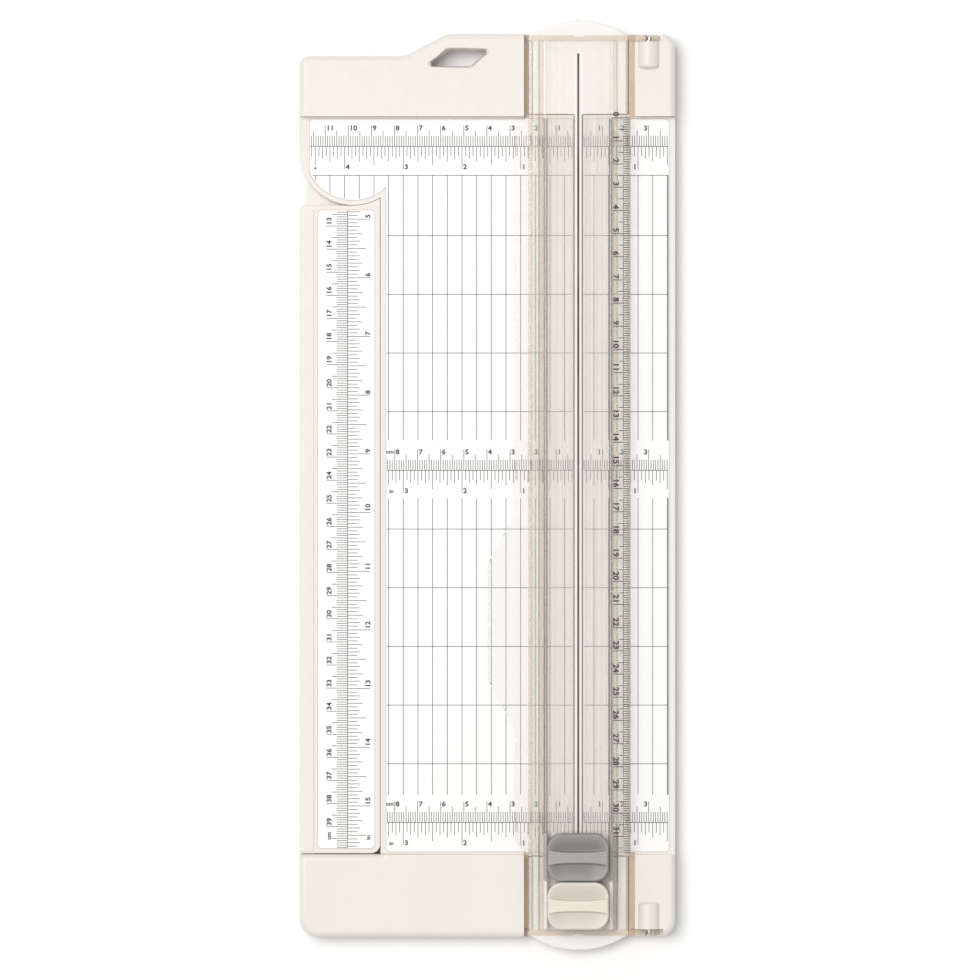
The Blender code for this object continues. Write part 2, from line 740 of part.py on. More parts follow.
def pivot_fastener():
    """The screw and the washer that hold the arm's tongue up against the deck."""
    low, high = WASHER_Z
    inner = SCREW_SHANK_RADIUS + GAP
    section = [(inner, high), (WASHER_RADIUS, high), (WASHER_RADIUS, low), (inner, low)]
    finish_part(turned("pivot_washer", section, (PIVOT_X, PIVOT_Y), ring=True), steel())
    low, high = SCREW_HEAD_Z
    profile = [
        (0, SCREW_TOP),
        (SCREW_SHANK_RADIUS, SCREW_TOP),
        (SCREW_SHANK_RADIUS, high),
        (SCREW_HEAD_RADIUS, high),
        (SCREW_HEAD_RADIUS, low + FOOT_ROUND),
        (SCREW_HEAD_RADIUS - FOOT_ROUND, low),
        (0, low),
    ]
    finish_part(turned("pivot_screw", profile, (PIVOT_X, PIVOT_Y)), steel())


# ---- clear rail ----


def rail_section():
    """The rail's section: a track with inward lips between two hollow side ledges."""
    left, right = RAIL_X
    track_left, track_right = TRACK_X
    mouth_left, mouth_right = TRACK_MOUTH_X
    wall, low, top = RAIL_WALL, RAIL_BOTTOM, RAIL_TOP
    floor, ledge = RAIL_FLOOR_TOP, RAIL_LEDGE_BOTTOM
    hollow = ledge - RAIL_WALL / 8
    corners = [
        (left, low),
        (left, top, RAIL_EDGE_ROUND),
        (mouth_left, top),
        (mouth_left, ledge),
        (track_left, ledge),
        (track_left, floor),
        (track_right, floor),
        (track_right, ledge),
        (mouth_right, ledge),
        (mouth_right, top),
        (right, top, RAIL_EDGE_ROUND),
        (right, low),
        (right - wall, low),
        (right - wall, hollow),
        (track_right + wall, hollow),
        (track_right + wall, low),
        (track_left - wall, low),
        (track_left - wall, hollow),
        (left + wall, hollow),
        (left + wall, low),
    ]
    return rounded(corners)


def flange_outline():
    """The paper hold-down lip along the rail's left foot, with its finger tab."""
    root = RAIL_X[0] + RAIL_WALL / 2
    edge, long, nip = FLANGE_LEFT, FLANGE_HALF_LENGTH, FLANGE_CHAMFER
    tab_low, tab_high = FINGER_TAB_Y
    slant, tab = FINGER_TAB_SLANT, FINGER_TAB_LEFT
    end_round, nip_round, slant_round, tab_round = FLANGE_ROUNDS
    return rounded(
        [
            (root, long),
            (root, -long),
            (edge + nip, -long, end_round),
            (edge, nip - long, nip_round),
            (edge, tab_low - slant, slant_round),
            (tab, tab_low, tab_round),
            (tab, tab_high, tab_round),
            (edge, tab_high + slant, slant_round),
            (edge, long - nip, nip_round),
            (edge + nip, long, end_round),
        ]
    )


def end_plate_outline():
    """The plate across a rail end: as tall as the rail, then a neck to the round hinge eye."""
    left, right = RAIL_X
    eye = arc((HINGE_X, HINGE_Z), EYE_RADIUS, *EYE_SWEEP)
    foot = [(right, RAIL_BOTTOM), (left, RAIL_BOTTOM)]
    return rounded([*foot, (left, RAIL_TOP, RAIL_EDGE_ROUND), (right, RAIL_TOP), *eye])


def rail_parts(hinge_frame):
    ends = (-RAIL_HALF_LENGTH, RAIL_HALF_LENGTH)
    rail = flat_outline("clear_rail", rail_section(), *ends, upright=True, group=PART_COLLECTION)
    flange = flat_outline("rail_flange", flange_outline(), *FLANGE_Z)
    add(rail, flange)
    low = (SLOT_X[0], -SLOT_HALF_LENGTH, RAIL_BOTTOM - THROUGH)
    high = (SLOT_X[1], SLOT_HALF_LENGTH, RAIL_FLOOR_TOP + THROUGH / 2)
    cut(rail, box("rail_slot", low, high))
    made = [finish_part(rail, clear_plastic(), smooth=True)]
    for end, sign in (("top", 1), ("low", -1)):
        ys = sorted(sign * y for y in END_PLATE_Y)
        name = f"rail_end_plate_{end}"
        plate = flat_outline(name, end_plate_outline(), *ys, upright=True, group=PART_COLLECTION)
        start, stop = (HINGE_X, ys[0] - THROUGH, HINGE_Z), (HINGE_X, ys[1] + THROUGH, HINGE_Z)
        cut(plate, cylinder(f"eye_bore_{end}", PIN_RADIUS + GAP, start, stop, segments=PIN_STEPS))
        made.append(finish_part(plate, clear_plastic(), smooth=True))
        near, far = (sign * y for y in PIN_Y)
        name, group = f"hinge_pin_{end}", PART_COLLECTION
        start, stop = (HINGE_X, near, HINGE_Z), (HINGE_X, far, HINGE_Z)
        pin = cylinder(name, PIN_RADIUS, start, stop, segments=PIN_STEPS, group=group)
        made.append(finish_part(pin, steel(), smooth=True))
    for side, left in (("left", TRACK_X[0]), ("right", TRACK_X[1] - GRIP_STRIP_WIDTH)):
        low = (left, -FLANGE_HALF_LENGTH, GRIP_STRIP_Z[0])
        high = (left + GRIP_STRIP_WIDTH, FLANGE_HALF_LENGTH, GRIP_STRIP_Z[1])
        made.append(finish_part(box(f"grip_strip_{side}", low, high, PART_COLLECTION), grip_rubber()))
    for part in made:
        carry(part, hinge_frame)


# ---- carriages ----


def carriage_shoe(name, y, finish):
    """The slider that the track holds, with a window for the holder and two spring pockets."""
    half = PAD_LENGTH / 2
    low = (TRACK_X[0] + GAP, y - half, SHOE_Z[0])
    high = (TRACK_X[1] - GAP, y + half, SHOE_Z[1])
    shoe = box(name, low, high, PART_COLLECTION)
    soften(shoe, SHOE_EDGE_ROUND)
    reach = SHOE_WINDOW_HALF_LENGTH
    window_low = (SHOE_WINDOW_X[0], y - reach, SHOE_Z[0] - THROUGH)
    window_high = (SHOE_WINDOW_X[1], y + reach, SHOE_Z[1] + THROUGH)
    cut(shoe, box(f"{name}_window", window_low, window_high))
    for side, x in zip(("left", "right"), SPRING_X):
        seat, mouth = (x, y, SPRING_SEAT - GAP), (x, y, SHOE_Z[1] + THROUGH)
        cut(shoe, cylinder(f"{name}_pocket_{side}", SPRING_POCKET_RADIUS, seat, mouth, segments=PIN_STEPS))
    return finish_part(shoe, finish)


def carriage_pad(name, y, finish):
    """The finger pad: a rounded block with two dishes and a ridge between them."""
    left, right = PAD_X
    half = PAD_LENGTH / 2
    corners = [(left, y - half), (right, y - half), (right, y + half), (left, y + half)]
    outline = rounded([(cx, cy, PAD_CORNER) for cx, cy in corners])
    pad = flat_outline(name, outline, *PAD_Z, group=PART_COLLECTION)
    round_top(pad, PAD_EDGE_ROUND, 2)
    for side, sign in (("near", -1), ("far", 1)):
        bm = bmesh.new()
        bmesh.ops.create_uvsphere(bm, u_segments=24, v_segments=12, radius=1)
        bmesh.ops.scale(bm, vec=DISH_HALF_SIZES, verts=bm.verts)
        mesh = bpy.data.meshes.new(f"{name}_dish_{side}")
        bm.to_mesh(mesh)
        bm.free()
        place = ((left + right) / 2, y + sign * DISH_OFFSET, PAD_Z[1] + DISH_RISE)
        cut(pad, as_cutter(place_mesh(mesh.name, mesh, CUTTER_COLLECTION, place)))
    return finish_part(pad, finish, smooth=True)


def tool_holder(name, y, finish):
    """The block under the pad, with a slit that grips the blade or the tip."""
    inset = HOLDER_SIDE_GAP
    low = (SHOE_WINDOW_X[0] + inset, y - HOLDER_HALF_LENGTH, HOLDER_Z[0])
    high = (SHOE_WINDOW_X[1] - inset, y + HOLDER_HALF_LENGTH, HOLDER_Z[1])
    holder = box(name, low, high, PART_COLLECTION)
    half, long = TIP_HALF_THICKNESS + GAP, BLADE_HALF_LENGTH + GAP
    slit_low = (CUT_X - half, y - long, HOLDER_Z[0] - THROUGH)
    slit_high = (CUT_X + half, y + long, HOLDER_SLIT_TOP)
    cut(holder, box(f"{name}_slit", slit_low, slit_high))
    return finish_part(holder, finish)


def upright_tool(name, y, side_points, half_thickness, finish):
    """A thin plate that stands along Y, from its side view's (y, z) points."""
    low, high = -half_thickness, half_thickness
    tool = flat_outline(name, side_points, low, high, group=PART_COLLECTION)
    tool.rotation_euler = (pi / 2, 0, pi / 2)
    tool.location = (CUT_X, y, 0)
    return finish_part(tool, finish)


def blade_side():
    """The blade's side view: two slanted cutting edges that meet at a narrow tip."""
    half, tip = BLADE_HALF_LENGTH, BLADE_TIP_HALF_LENGTH
    return [
        (-half, BLADE_TOP),
        (-half, BLADE_HEEL),
        (-tip, BLADE_TIP),
        (tip, BLADE_TIP),
        (half, BLADE_HEEL),
        (half, BLADE_TOP),
    ]


def scoring_tip_side():
    """The scoring tip's side view: a plate that ends in a blunt round nose."""
    nose, half = TIP_NOSE_RADIUS, TIP_HALF_LENGTH
    round_nose = arc((0, BLADE_TIP + nose), nose, -pi, 0)
    return [(-half, BLADE_TOP), (-half, BLADE_HEEL), *round_nose, (half, BLADE_HEEL), (half, BLADE_TOP)]


def spring(name, x, y):
    """A coil spring that lifts the pad off the shoe."""
    bottom, top = SPRING_SEAT + SPRING_WIRE, PAD_Z[0] - GAP - SPRING_WIRE
    count = SPRING_TURNS * SPRING_POINTS_A_TURN + 1
    curve = bpy.data.curves.new(name, "CURVE")
    curve.dimensions = "3D"
    curve.bevel_depth = SPRING_WIRE
    curve.bevel_resolution = 1
    curve.use_fill_caps = True
    line = curve.splines.new("POLY")
    line.points.add(count - 1)
    for i, point in enumerate(line.points):
        angle = 2 * pi * i / SPRING_POINTS_A_TURN
        height = bottom + (top - bottom) * i / (count - 1)
        point.co = (SPRING_RADIUS * cos(angle), SPRING_RADIUS * sin(angle), height, 1)
    guide = bpy.data.objects.new(name, curve)
    guide.location = (x, y, 0)
    collection(PART_COLLECTION).objects.link(guide)
    return finish_part(mesh_of(guide, PART_COLLECTION), steel(), smooth=True)


def carriage(kind, y, finish, tool, rail_frame):
    """One carriage: its shoe slides in the rail, and its pad, holder and tool press down."""
    slide_frame = joint_frame(f"{kind}_slide_axis", (CUT_X, y, SHOE_Z[0]))
    carry(slide_frame, rail_frame)
    press_frame = joint_frame(f"{kind}_press_axis", (CUT_X, y, HOLDER_Z[0]))
    carry(press_frame, slide_frame)
    carry(carriage_shoe(f"{kind}_shoe", y, finish), slide_frame)
    for side, x in zip(("left", "right"), SPRING_X):
        carry(spring(f"{kind}_spring_{side}", x, y), slide_frame)
    carry(carriage_pad(f"{kind}_pad", y, finish), press_frame)
    carry(tool_holder(f"{kind}_holder", y, finish), press_frame)
    carry(tool, press_frame)


# ---- feet ----


def feet(arm_frame):
    profile = [
        (0, FOOT_TOP),
        (FOOT_RADIUS, FOOT_TOP),
        (FOOT_RADIUS, FOOT_ROUND),
        (FOOT_RADIUS - FOOT_ROUND, 0),
        (0, 0),
    ]
    for name, place in BASE_FEET.items():
        finish_part(turned(name, profile, place), foot_rubber())
    for name, place in ARM_FEET.items():
        carry(finish_part(turned(name, profile, place), foot_rubber()), arm_frame)


def main():
    clear_scene()
    base_shell()
    scale_plates()
    cutting_strip()
    arm_frame = joint_frame("arm_pivot_axis", (PIVOT_X, PIVOT_Y, 0))
    ruler_arm(arm_frame)
    pivot_fastener()
    rail_frame = joint_frame("rail_hinge_axis", (HINGE_X, 0, HINGE_Z))
    rail_parts(rail_frame)
    blade = upright_tool("cutter_blade", CUTTER_Y, blade_side(), BLADE_HALF_THICKNESS, steel())
    carriage("cutter", CUTTER_Y, grey_plastic(), blade, rail_frame)
    nose = upright_tool(
        "scorer_tip", SCORER_Y, scoring_tip_side(), TIP_HALF_THICKNESS, pale_plastic()
    )
    carriage("scorer", SCORER_Y, pale_plastic(), nose, rail_frame)
    feet(arm_frame)


main()
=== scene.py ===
"""Looks of the sliding-blade paper trimmer: fine pieces, prints, materials, floor, light and camera.

Metres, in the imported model's own frame: X across the trimmer, Y along its rail, Z up.
"""

import json
from contextlib import contextmanager
from math import acos, atan2, ceil, cos, hypot, pi, radians, sin, sqrt

import bmesh
import bpy
from mathutils import Matrix, Vector


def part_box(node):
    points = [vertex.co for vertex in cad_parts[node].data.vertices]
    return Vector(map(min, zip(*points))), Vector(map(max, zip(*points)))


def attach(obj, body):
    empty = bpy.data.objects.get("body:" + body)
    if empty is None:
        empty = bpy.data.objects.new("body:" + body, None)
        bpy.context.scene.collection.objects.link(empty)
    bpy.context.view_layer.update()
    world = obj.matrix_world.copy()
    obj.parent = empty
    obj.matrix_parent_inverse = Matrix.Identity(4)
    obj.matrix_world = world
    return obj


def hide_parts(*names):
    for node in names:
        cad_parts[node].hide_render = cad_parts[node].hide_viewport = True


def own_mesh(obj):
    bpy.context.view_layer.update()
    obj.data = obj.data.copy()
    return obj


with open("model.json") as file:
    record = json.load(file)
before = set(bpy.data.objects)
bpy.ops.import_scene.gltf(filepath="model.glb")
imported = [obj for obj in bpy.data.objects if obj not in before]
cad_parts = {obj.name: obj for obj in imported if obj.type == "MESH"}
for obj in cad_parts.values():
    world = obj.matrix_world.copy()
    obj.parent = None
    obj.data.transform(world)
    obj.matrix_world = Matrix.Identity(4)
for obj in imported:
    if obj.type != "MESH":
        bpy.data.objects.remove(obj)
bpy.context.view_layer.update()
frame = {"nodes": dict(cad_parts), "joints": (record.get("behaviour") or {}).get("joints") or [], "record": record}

# ---- sizes ----

GAP = 0.0003  # between pieces that touch
THROUGH = 0.005  # how far a cutter runs past the face it opens
ARC_TOLERANCE = 0.000012  # between a true arc and its straight steps
EDGE = 0.00022  # rounding on moulded edges
BROAD_EDGE = 0.0003  # rounding on small stout pieces
SAME_PLACE = 1e-6
OVERLAP = 0.001  # how far joined solids reach into each other
FLUSH_STEP = 0.00005  # keeps joined faces out of one plane

# Heights that the frame's boxes don't give by themselves
BAR_TOP = 0.0150
DECK_FLOOR = 0.0090
DECK_UNDERSIDE = 0.0070
DECK_RIM_TOP = 0.0102
TROUGH_FLOOR = 0.0100

# Base
BAR_EDGE_ROUND = 0.0028
SHOULDER_Y = 0.1856
SHOULDER_SLOPE_X = (-0.0357, -0.0175)
SLOPE_RADIUS = 0.0080
CORNER_RADII = {"top_left": 0.0040, "top_right": 0.0065, "low_right": 0.0070, "low_left": 0.0078}
WALL = 0.0024
RIB = 0.0020
DECK_ROWS = 6
DECK_RIB_X = -0.0035
BAR_RIB_X = -0.0300
BAR_POCKET_LEFT = -0.0600
TROUGH_SIDE_GAP = 0.0018
END_RECESS_RIGHT = 0.0760
HANG_HOLE_CORNERS = ((-0.0271, 0.1811), (-0.0076, 0.1811), (0.0019, 0.1884), (-0.0167, 0.1884))
HANG_HOLE_RADIUS = 0.0012
HANG_HOLE_LIP = 0.0011
KNUCKLE_RADIUS = 0.00485
KNUCKLE_START = 0.1803
PIN_BORE_END = 0.1825
PIVOT_RADIUS = 0.0230
PIVOT_LIP = 0.0021
PIVOT_ROOM_RADIUS = 0.0240
PIVOT_BOSS_RADIUS = 0.0040
PIVOT_BOSS_BOTTOM = 0.0031
PIVOT_BORE_TOP = 0.0072
FOOT_SEAT = 0.0075
PLATE_CORNER = 0.0018
PLATE_GAP = 0.00008  # round a printed plate in its bed
PLATE_EDGE_ROUND = 0.00012
DECK_END_RIM = 0.0010  # between a plate's end and an end bar
PIVOT_BORE_RADIUS = 0.0018
KNUCKLE_END_ROUND = 0.0012
POCKET_CORNER = 0.0015
POCKET_CEILING_ROUND = 0.0008

# Cutting strip
SEAT_PAST_DECK = 0.0007  # where its wide ends' seats begin, past the deck's end
NECK_PAST_DECK = 0.0010
STRIP_GRIP_RADIUS = 0.0380
STRIP_NECK_ROUND = 0.0008
STRIP_EDGE_ROUND = 0.0005
GROOVE_BOTTOM = 0.0089
GROOVE_DROP = 0.0004  # from the groove's sides to its middle
GROOVE_HALF_WIDTH = 0.00045
GROOVE_MOUTH_HALF = 0.00055
GROOVE_HALF_LENGTH = 0.1870
# Half the width of the painted shade along the blade groove
GROOVE_SHADE_HALF = 0.0006

# Arm
ARM_RIGHT = -0.0466
ARM_EDGE_ROUND = 0.0004
ARM_GAP = 0.00012  # between the arm and the base at rest
ARM_BAND_GROOVE = 0.0005  # between the arm's plain band and its label's rim
ARM_BAND_END = 0.0010
ARM_BAND_ASIDE = 0.0012
ARM_BAND_STOP = 0.0022
ARM_TIP_RADII = (0.0012, 0.0040)
ARM_SHOULDER_RADIUS = 0.0020
ARM_BAND_DEPTH = 0.0004
ARM_END_DEPTH = 0.0006
TONGUE_EDGE_ROUND = 0.0003
TONGUE_Z = (0.0034, 0.0062)
TONGUE_SHOULDER = 0.0145
ARM_POCKETS = 7

# Rail
RAIL_WALL = 0.0016
RAIL_FLOOR_TOP = 0.0128
RAIL_LEDGE_BOTTOM = 0.0186
RAIL_ROUND = 0.0007
RAIL_SMALL_ROUND = 0.00025
END_PLATE_ROUNDS = (0.0004, 0.0010)
TRACK_X = (0.0240, 0.0543)
TRACK_MOUTH_X = (0.0254, 0.0528)
SLOT_HALF_WIDTH = 0.00195
SLOT_HALF_LENGTH = 0.1873
FLANGE_Z = (0.0115, 0.0127)
FLANGE_LEFT = 0.0119
FLANGE_HALF_LENGTH = 0.1590
FLANGE_CHAMFER = 0.0050
FINGER_TAB_Y = (-0.0847, -0.0332)
FINGER_TAB_SLANT = 0.0205
FLANGE_ROUNDS = (0.0020, 0.0030, 0.0080, 0.0090)
EYE_RADIUS = 0.0051
FLOOR_RIBS = (0.0297, 0.0352, 0.0364, 0.0424, 0.0496)  # X of the ribs on the track's floor
FLOOR_RIB_HALF_WIDTH = 0.00028
FLOOR_RIB_HEIGHT = 0.00022
# A hazy sheet under the rail along the deck, which paints the rail's shade
SHADE_SHEET_THICKNESS = 0.00020
SHADE_SHEET_GAP = 0.00003
SHADE_SHEET_MARGIN = 0.0003
SHADE_SHEET_CORNER = 0.0004
SLOT_CORNER = 0.0008
FLANGE_EDGE_ROUND = 0.0005
END_NOTCH_HALF = 0.0022
END_NOTCH_DEPTH = 0.0008
END_NOTCH_SILL = 0.0020  # above the rail's foot
PIN_END_ROUND = 0.0004
GRIP_STRIP_ROUND = 0.0003

# Carriages
PAD_CORNER = 0.0064
PAD_EDGE_ROUND = 0.0011
MARK_HEIGHT = 0.00015
DISH_DEPTH = 0.0017
RIDGE_HALF = 0.20  # of the pad's half length, at its middle
RIDGE_SPREAD = 0.10
DISH_DROP = 0.10  # share of a dish's length that its step down takes
DISH_RISE = 0.80  # share of a dish's depth that it gains back towards its end
GRIP_GROOVE_START = 0.35
GRIP_GROOVE_DEPTH = 0.00010
PAD_COLUMNS = 56
DISH_ROWS = 22
RIDGE_ROWS = 10
MARK_TRIANGLE = ((-0.0010, -0.0007), (0.0010, -0.0007), (0.0, 0.0010))
MARK_DOT_RADIUS = 0.0006
SHOE_INSET = 0.0004
SHOE_WINDOW_GAP = 0.0005
WELL_RADIUS = 0.0031
WEB_HALF = 0.0045
BLADE_POINT_HALF = 0.0004
BLADE_GRIND = 0.0007  # how far the ground edges rise from its middle to its faces
NOSE_RADIUS = 0.0016
TOOL_HEEL = 0.0030  # height of a tool's slanted or round end
RUNNER_WIDTH = 0.0014
SPRING_TURNS = 4
SPRING_WIRE = 0.00030

# Feet and pivot screw
FOOT_RIM_ROUND = 0.0006
FOOT_DIP = 0.00015
SCREW_SHANK_RADIUS = 0.0015
SCREW_HEAD_HEIGHT = 0.0011
CROSS_REACH = 0.0019
CROSS_HALF_WIDTH = 0.00035
CROSS_DEPTH = 0.0007

# Print
INK_HEIGHT = 0.00004
INK_SINK = 0.00001  # how far the print is set into the plate
TICK_WIDTH = 0.00025
GRID_WIDTH = 0.00026
INCH = 0.0254
UNIT_X = -0.0804  # of the deck's units, from the scales' zero
PRINT_MARGIN = 0.0004  # kept clear at a plate's side
JOINT_MARGIN = 0.0002  # kept clear beside the cutting strip
LIP_MARGIN = 0.0003
ARM_UNIT_ASIDE = 0.0035
RAIL_TICKS = {"cm": 0.0073, "half": 0.0050, "mm": 0.0030}
RAIL_TICK_WIDTH = 0.00030
RAIL_DIGIT_HEIGHT = 0.0024
SCALE_ZERO_ASIDE = 0.00045  # of the deck scales' zero, to the right of the cut line
SCALE_OFFSET = 0.0024  # from the pivot's centre line to the top scale's line
DIGIT_HEIGHT = 0.0021
CM_TICKS = {"mm": 0.0046, "half": 0.0068, "cm": 0.0091}
INCH_TICKS = {16: 0.0043, 8: 0.0054, 4: 0.0065, 2: 0.0081, 1: 0.0098}
DIGIT_SIDE_GAP = 0.0005
DIGIT_SPREAD = 1.12
GRID_TOP_ROW = 5
GRID_LOW_ROW = -6
GRID_MIDDLE_Y = 0.0065
GRID_FRAME_RISE = 0.0007  # of the top frame line above its inch row
GRID_BREAK = (0.0120, 0.0130)  # kept clear below and above a scale

# View
VIEW_CENTER = (0.00108, -0.0020)
VIEW_WIDTH = 0.4242
VIEW_DISTANCE = 2.80
VIEW_HEIGHT = 0.0100  # of the plane that the view's width is measured in
SENSOR = 36.0
WORLD_STRENGTH = 0.56
KEY_PLACE = (-1.5, 1.0, 5.5)
KEY_SIZE = 3.0
KEY_POWER = 203.0


# ---- places, read from the frame ----

base_low, base_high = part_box("base_shell")
left_plate_low, left_plate_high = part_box("scale_plate_left")
right_plate_low, right_plate_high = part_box("scale_plate_right")
strip_low, strip_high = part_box("cutting_strip")
arm_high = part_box("ruler_arm")[1]
arm_plate_low, arm_plate_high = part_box("arm_scale_plate")
rail_low, rail_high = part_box("clear_rail")
end_plate_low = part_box("rail_end_plate_top")[0]
pin_low, pin_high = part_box("hinge_pin_top")

joints = {joint["name"]: joint for joint in frame["joints"]}
pivot_x, pivot_y, _ = joints["arm_swing"]["pos_m"]
hinge_x, _, hinge_z = joints["rail_lift"]["pos_m"]
half_width, half_length = base_high.x, base_high.y
skirt_bottom = base_low.z
cut_x = (strip_low.x + strip_high.x) / 2
strip_half_width = right_plate_low.x - GAP - cut_x
grip_half_width = strip_high.x - cut_x
deck_half_length = left_plate_high.y + DECK_END_RIM
plate_half_length = left_plate_high.y
end_face = end_plate_low.y - GAP
pin_radius = (pin_high.x - pin_low.x) / 2
rail_left, rail_right = end_plate_low.x, 2 * cut_x + 0.0008 - end_plate_low.x
deck_left = ARM_RIGHT + GAP
scale_zero = cut_x + SCALE_ZERO_ASIDE


# ---- materials ----


class Graph:
    """A material's nodes, added and linked by short calls."""

    def __init__(self, name):
        self.material = bpy.data.materials.new(name)
        self.material.use_nodes = True
        self.tree = self.material.node_tree
        self.tree.nodes.clear()
        self.output = self.node("ShaderNodeOutputMaterial")
        self.place = self.node("ShaderNodeTexCoord").outputs["Object"]

    def node(self, kind, inputs=None, **settings):
        made = self.tree.nodes.new(kind)
        for key, value in settings.items():
            setattr(made, key, value)
        for key, value in (inputs or {}).items():
            if isinstance(value, bpy.types.NodeSocket):
                self.tree.links.new(value, made.inputs[key])
            else:
                made.inputs[key].default_value = value
        return made

    def math(self, operation, *values):
        return self.node("ShaderNodeMath", dict(enumerate(values)), operation=operation).outputs[0]

    def noise(self, scale, detail=2.0, stretch=None):
        """Noise with so many features a metre, drawn out along an axis if stretch says so."""
        place = self.place
        if stretch:
            place = self.node("ShaderNodeMapping", {"Vector": place, "Scale": stretch}).outputs[0]
        inputs = {"Vector": place, "Scale": scale, "Detail": detail}
        return self.node("ShaderNodeTexNoise", inputs).outputs["Fac"]

    def spread(self, value, low, high, start=0.3, stop=0.7):
        """Maps noise from its usual span to the span from low to high."""
        inputs = {0: value, 1: start, 2: stop, 3: low, 4: high}
        return self.node("ShaderNodeMapRange", inputs).outputs[0]

    def blend(self, factor, first, second, mode="MIX"):
        inputs = {0: factor, 6: (*first, 1) if isinstance(first, tuple) else first}
        inputs[7] = (*second, 1) if isinstance(second, tuple) else second
        made = self.node("ShaderNodeMix", inputs, data_type="RGBA", blend_type=mode)
        return made.outputs[2]

    def edge_highlight_and_wear(self, strength):
        """How exposed a convex edge is, from 0 to strength: the share of a painted edge highlight and of slight
        wear.
        """
        exposed = self.node("ShaderNodeNewGeometry").outputs["Pointiness"]
        return self.spread(exposed, 0.0, strength, 0.51, 0.60)

    def finish(self, shader):
        self.tree.links.new(shader, self.output.inputs["Surface"])
        return self.material

    def coat(self, tone, rough, height, strength, distance, **settings):
        """Finishes the material with an opaque surface that a height makes uneven."""
        bump = self.node("ShaderNodeBump", {"Strength": strength, "Distance": distance, "Height": height})
        inputs = {"Base Color": tone, "Roughness": rough, "Normal": bump.outputs[0], **settings}
        return self.finish(self.node("ShaderNodeBsdfPrincipled", inputs).outputs[0])


def scaled(color, factor):
    return tuple(channel * factor for channel in color)


def moulded(name, color, roughness, grain=0.35, mottle=0.02, shade=None, painted_gap_shade=None):
    """Moulded plastic: a fine spark-eroded grain, a faint flow in its tone, and paler convex edges, a painted
    highlight that also stands for slight wear.

    A shade of (height, depth, factor) is painted shade: the tone is this much darker that far below a height, as
    in a pad's dishes and on the pieces under the pad. A band of (x, inner, outer, height, color) is painted shade
    and tint between two distances from a line and below a height, where a gap or groove lies in shade.
    """
    g = Graph(name)
    flow = g.noise(14, 3, stretch=(1.0, 0.35, 1.0))
    fine = g.noise(2600, 2)
    tone = g.blend(g.spread(flow, 0.0, 1.0), scaled(color, 1 - mottle), scaled(color, 1 + mottle))
    tone = g.blend(g.spread(fine, 0.0, 0.05), tone, scaled(color, 0.9))
    if shade or painted_gap_shade:
        x, _, z = g.node("ShaderNodeSeparateXYZ", {0: g.place}).outputs
    # Below a height the tone darkens: painted shade, as in a pad's dishes.
    if shade:
        height, depth, factor = shade
        deep = g.spread(z, 0.0, 1.0, height, height - depth)
        tone = g.blend(deep, tone, scaled(color, factor))
    # Convex edges are paler: a painted edge highlight, standing also for slight wear.
    edge_highlight_and_wear = g.blend(g.edge_highlight_and_wear(0.25), tone, tuple(min(1.0, c * 1.08 + 0.02) for c in color))
    # A band beside a line, below a height, takes a darker tint: painted shade in a gap or groove.
    if painted_gap_shade:
        center, inner, outer, height, gap_shade_color = painted_gap_shade
        aside = g.math("ABSOLUTE", g.math("SUBTRACT", x, center))
        inside = g.math("MULTIPLY", g.math("GREATER_THAN", aside, inner), g.math("LESS_THAN", aside, outer))
        below = g.math("LESS_THAN", z, height)
        patchy = g.spread(g.noise(900, 3, stretch=(1.0, 0.05, 1.0)), 0.75, 1.0)
        edge_highlight_and_wear = g.blend(g.math("MULTIPLY", g.math("MULTIPLY", inside, below), patchy), edge_highlight_and_wear, gap_shade_color)
    rough = g.spread(g.noise(220, 3), roughness - 0.05, roughness + 0.06)
    return g.coat(edge_highlight_and_wear, rough, fine, grain, 0.00003, IOR=1.46)


def coated_label(name, color):
    """A printed plate: smooth, satin and very slightly uneven where it is bonded down."""
    g = Graph(name)
    wave = g.noise(40, 2)
    fibre = g.noise(5200, 1)
    tone = g.blend(g.spread(wave, 0.0, 1.0), scaled(color, 0.99), color)
    tone = g.blend(g.spread(fibre, 0.0, 0.03), tone, scaled(color, 0.8))
    rough = g.spread(g.noise(320, 2), 0.34, 0.46)
    height = g.math("ADD", wave, g.math("MULTIPLY", fibre, 0.02))
    return g.coat(tone, rough, height, 0.25, 0.00008)


def ink(name, color):
    """Screen-printed ink, a little patchy."""
    g = Graph(name)
    patch = g.noise(1500, 3)
    tone = g.blend(g.spread(patch, 0.0, 1.0), color, scaled(color, 1.8))
    rough = g.spread(g.noise(4000, 1), 0.45, 0.65)
    return g.finish(g.node("ShaderNodeBsdfPrincipled", {"Base Color": tone, "Roughness": rough}).outputs[0])


def rubber(name, color, roughness):
    """Dull moulded rubber with a pebbled skin."""
    g = Graph(name)
    pebble = g.node("ShaderNodeTexVoronoi", {"Vector": g.place, "Scale": 1900}).outputs["Distance"]
    dust = g.noise(160, 4)
    tone = g.blend(g.spread(dust, 0.0, 0.5), color, tuple(c * 1.3 + 0.02 for c in color))
    rough = g.spread(g.noise(900, 2), roughness - 0.08, roughness + 0.08)
    return g.coat(tone, rough, pebble, 0.4, 0.00006)


def brushed_steel(name, color, roughness, along):
    """Steel with fine drawn lines along one axis."""
    g = Graph(name)
    stretch = tuple(0.02 if axis == along else 1.0 for axis in "xyz")
    lines = g.noise(9000, 3, stretch=stretch)
    tone = g.blend(g.spread(lines, 0.0, 1.0), scaled(color, 0.82), color)
    rough = g.spread(g.noise(700, 2), roughness - 0.06, roughness + 0.08)
    return g.coat(tone, rough, lines, 0.25, 0.00002, Metallic=1.0)


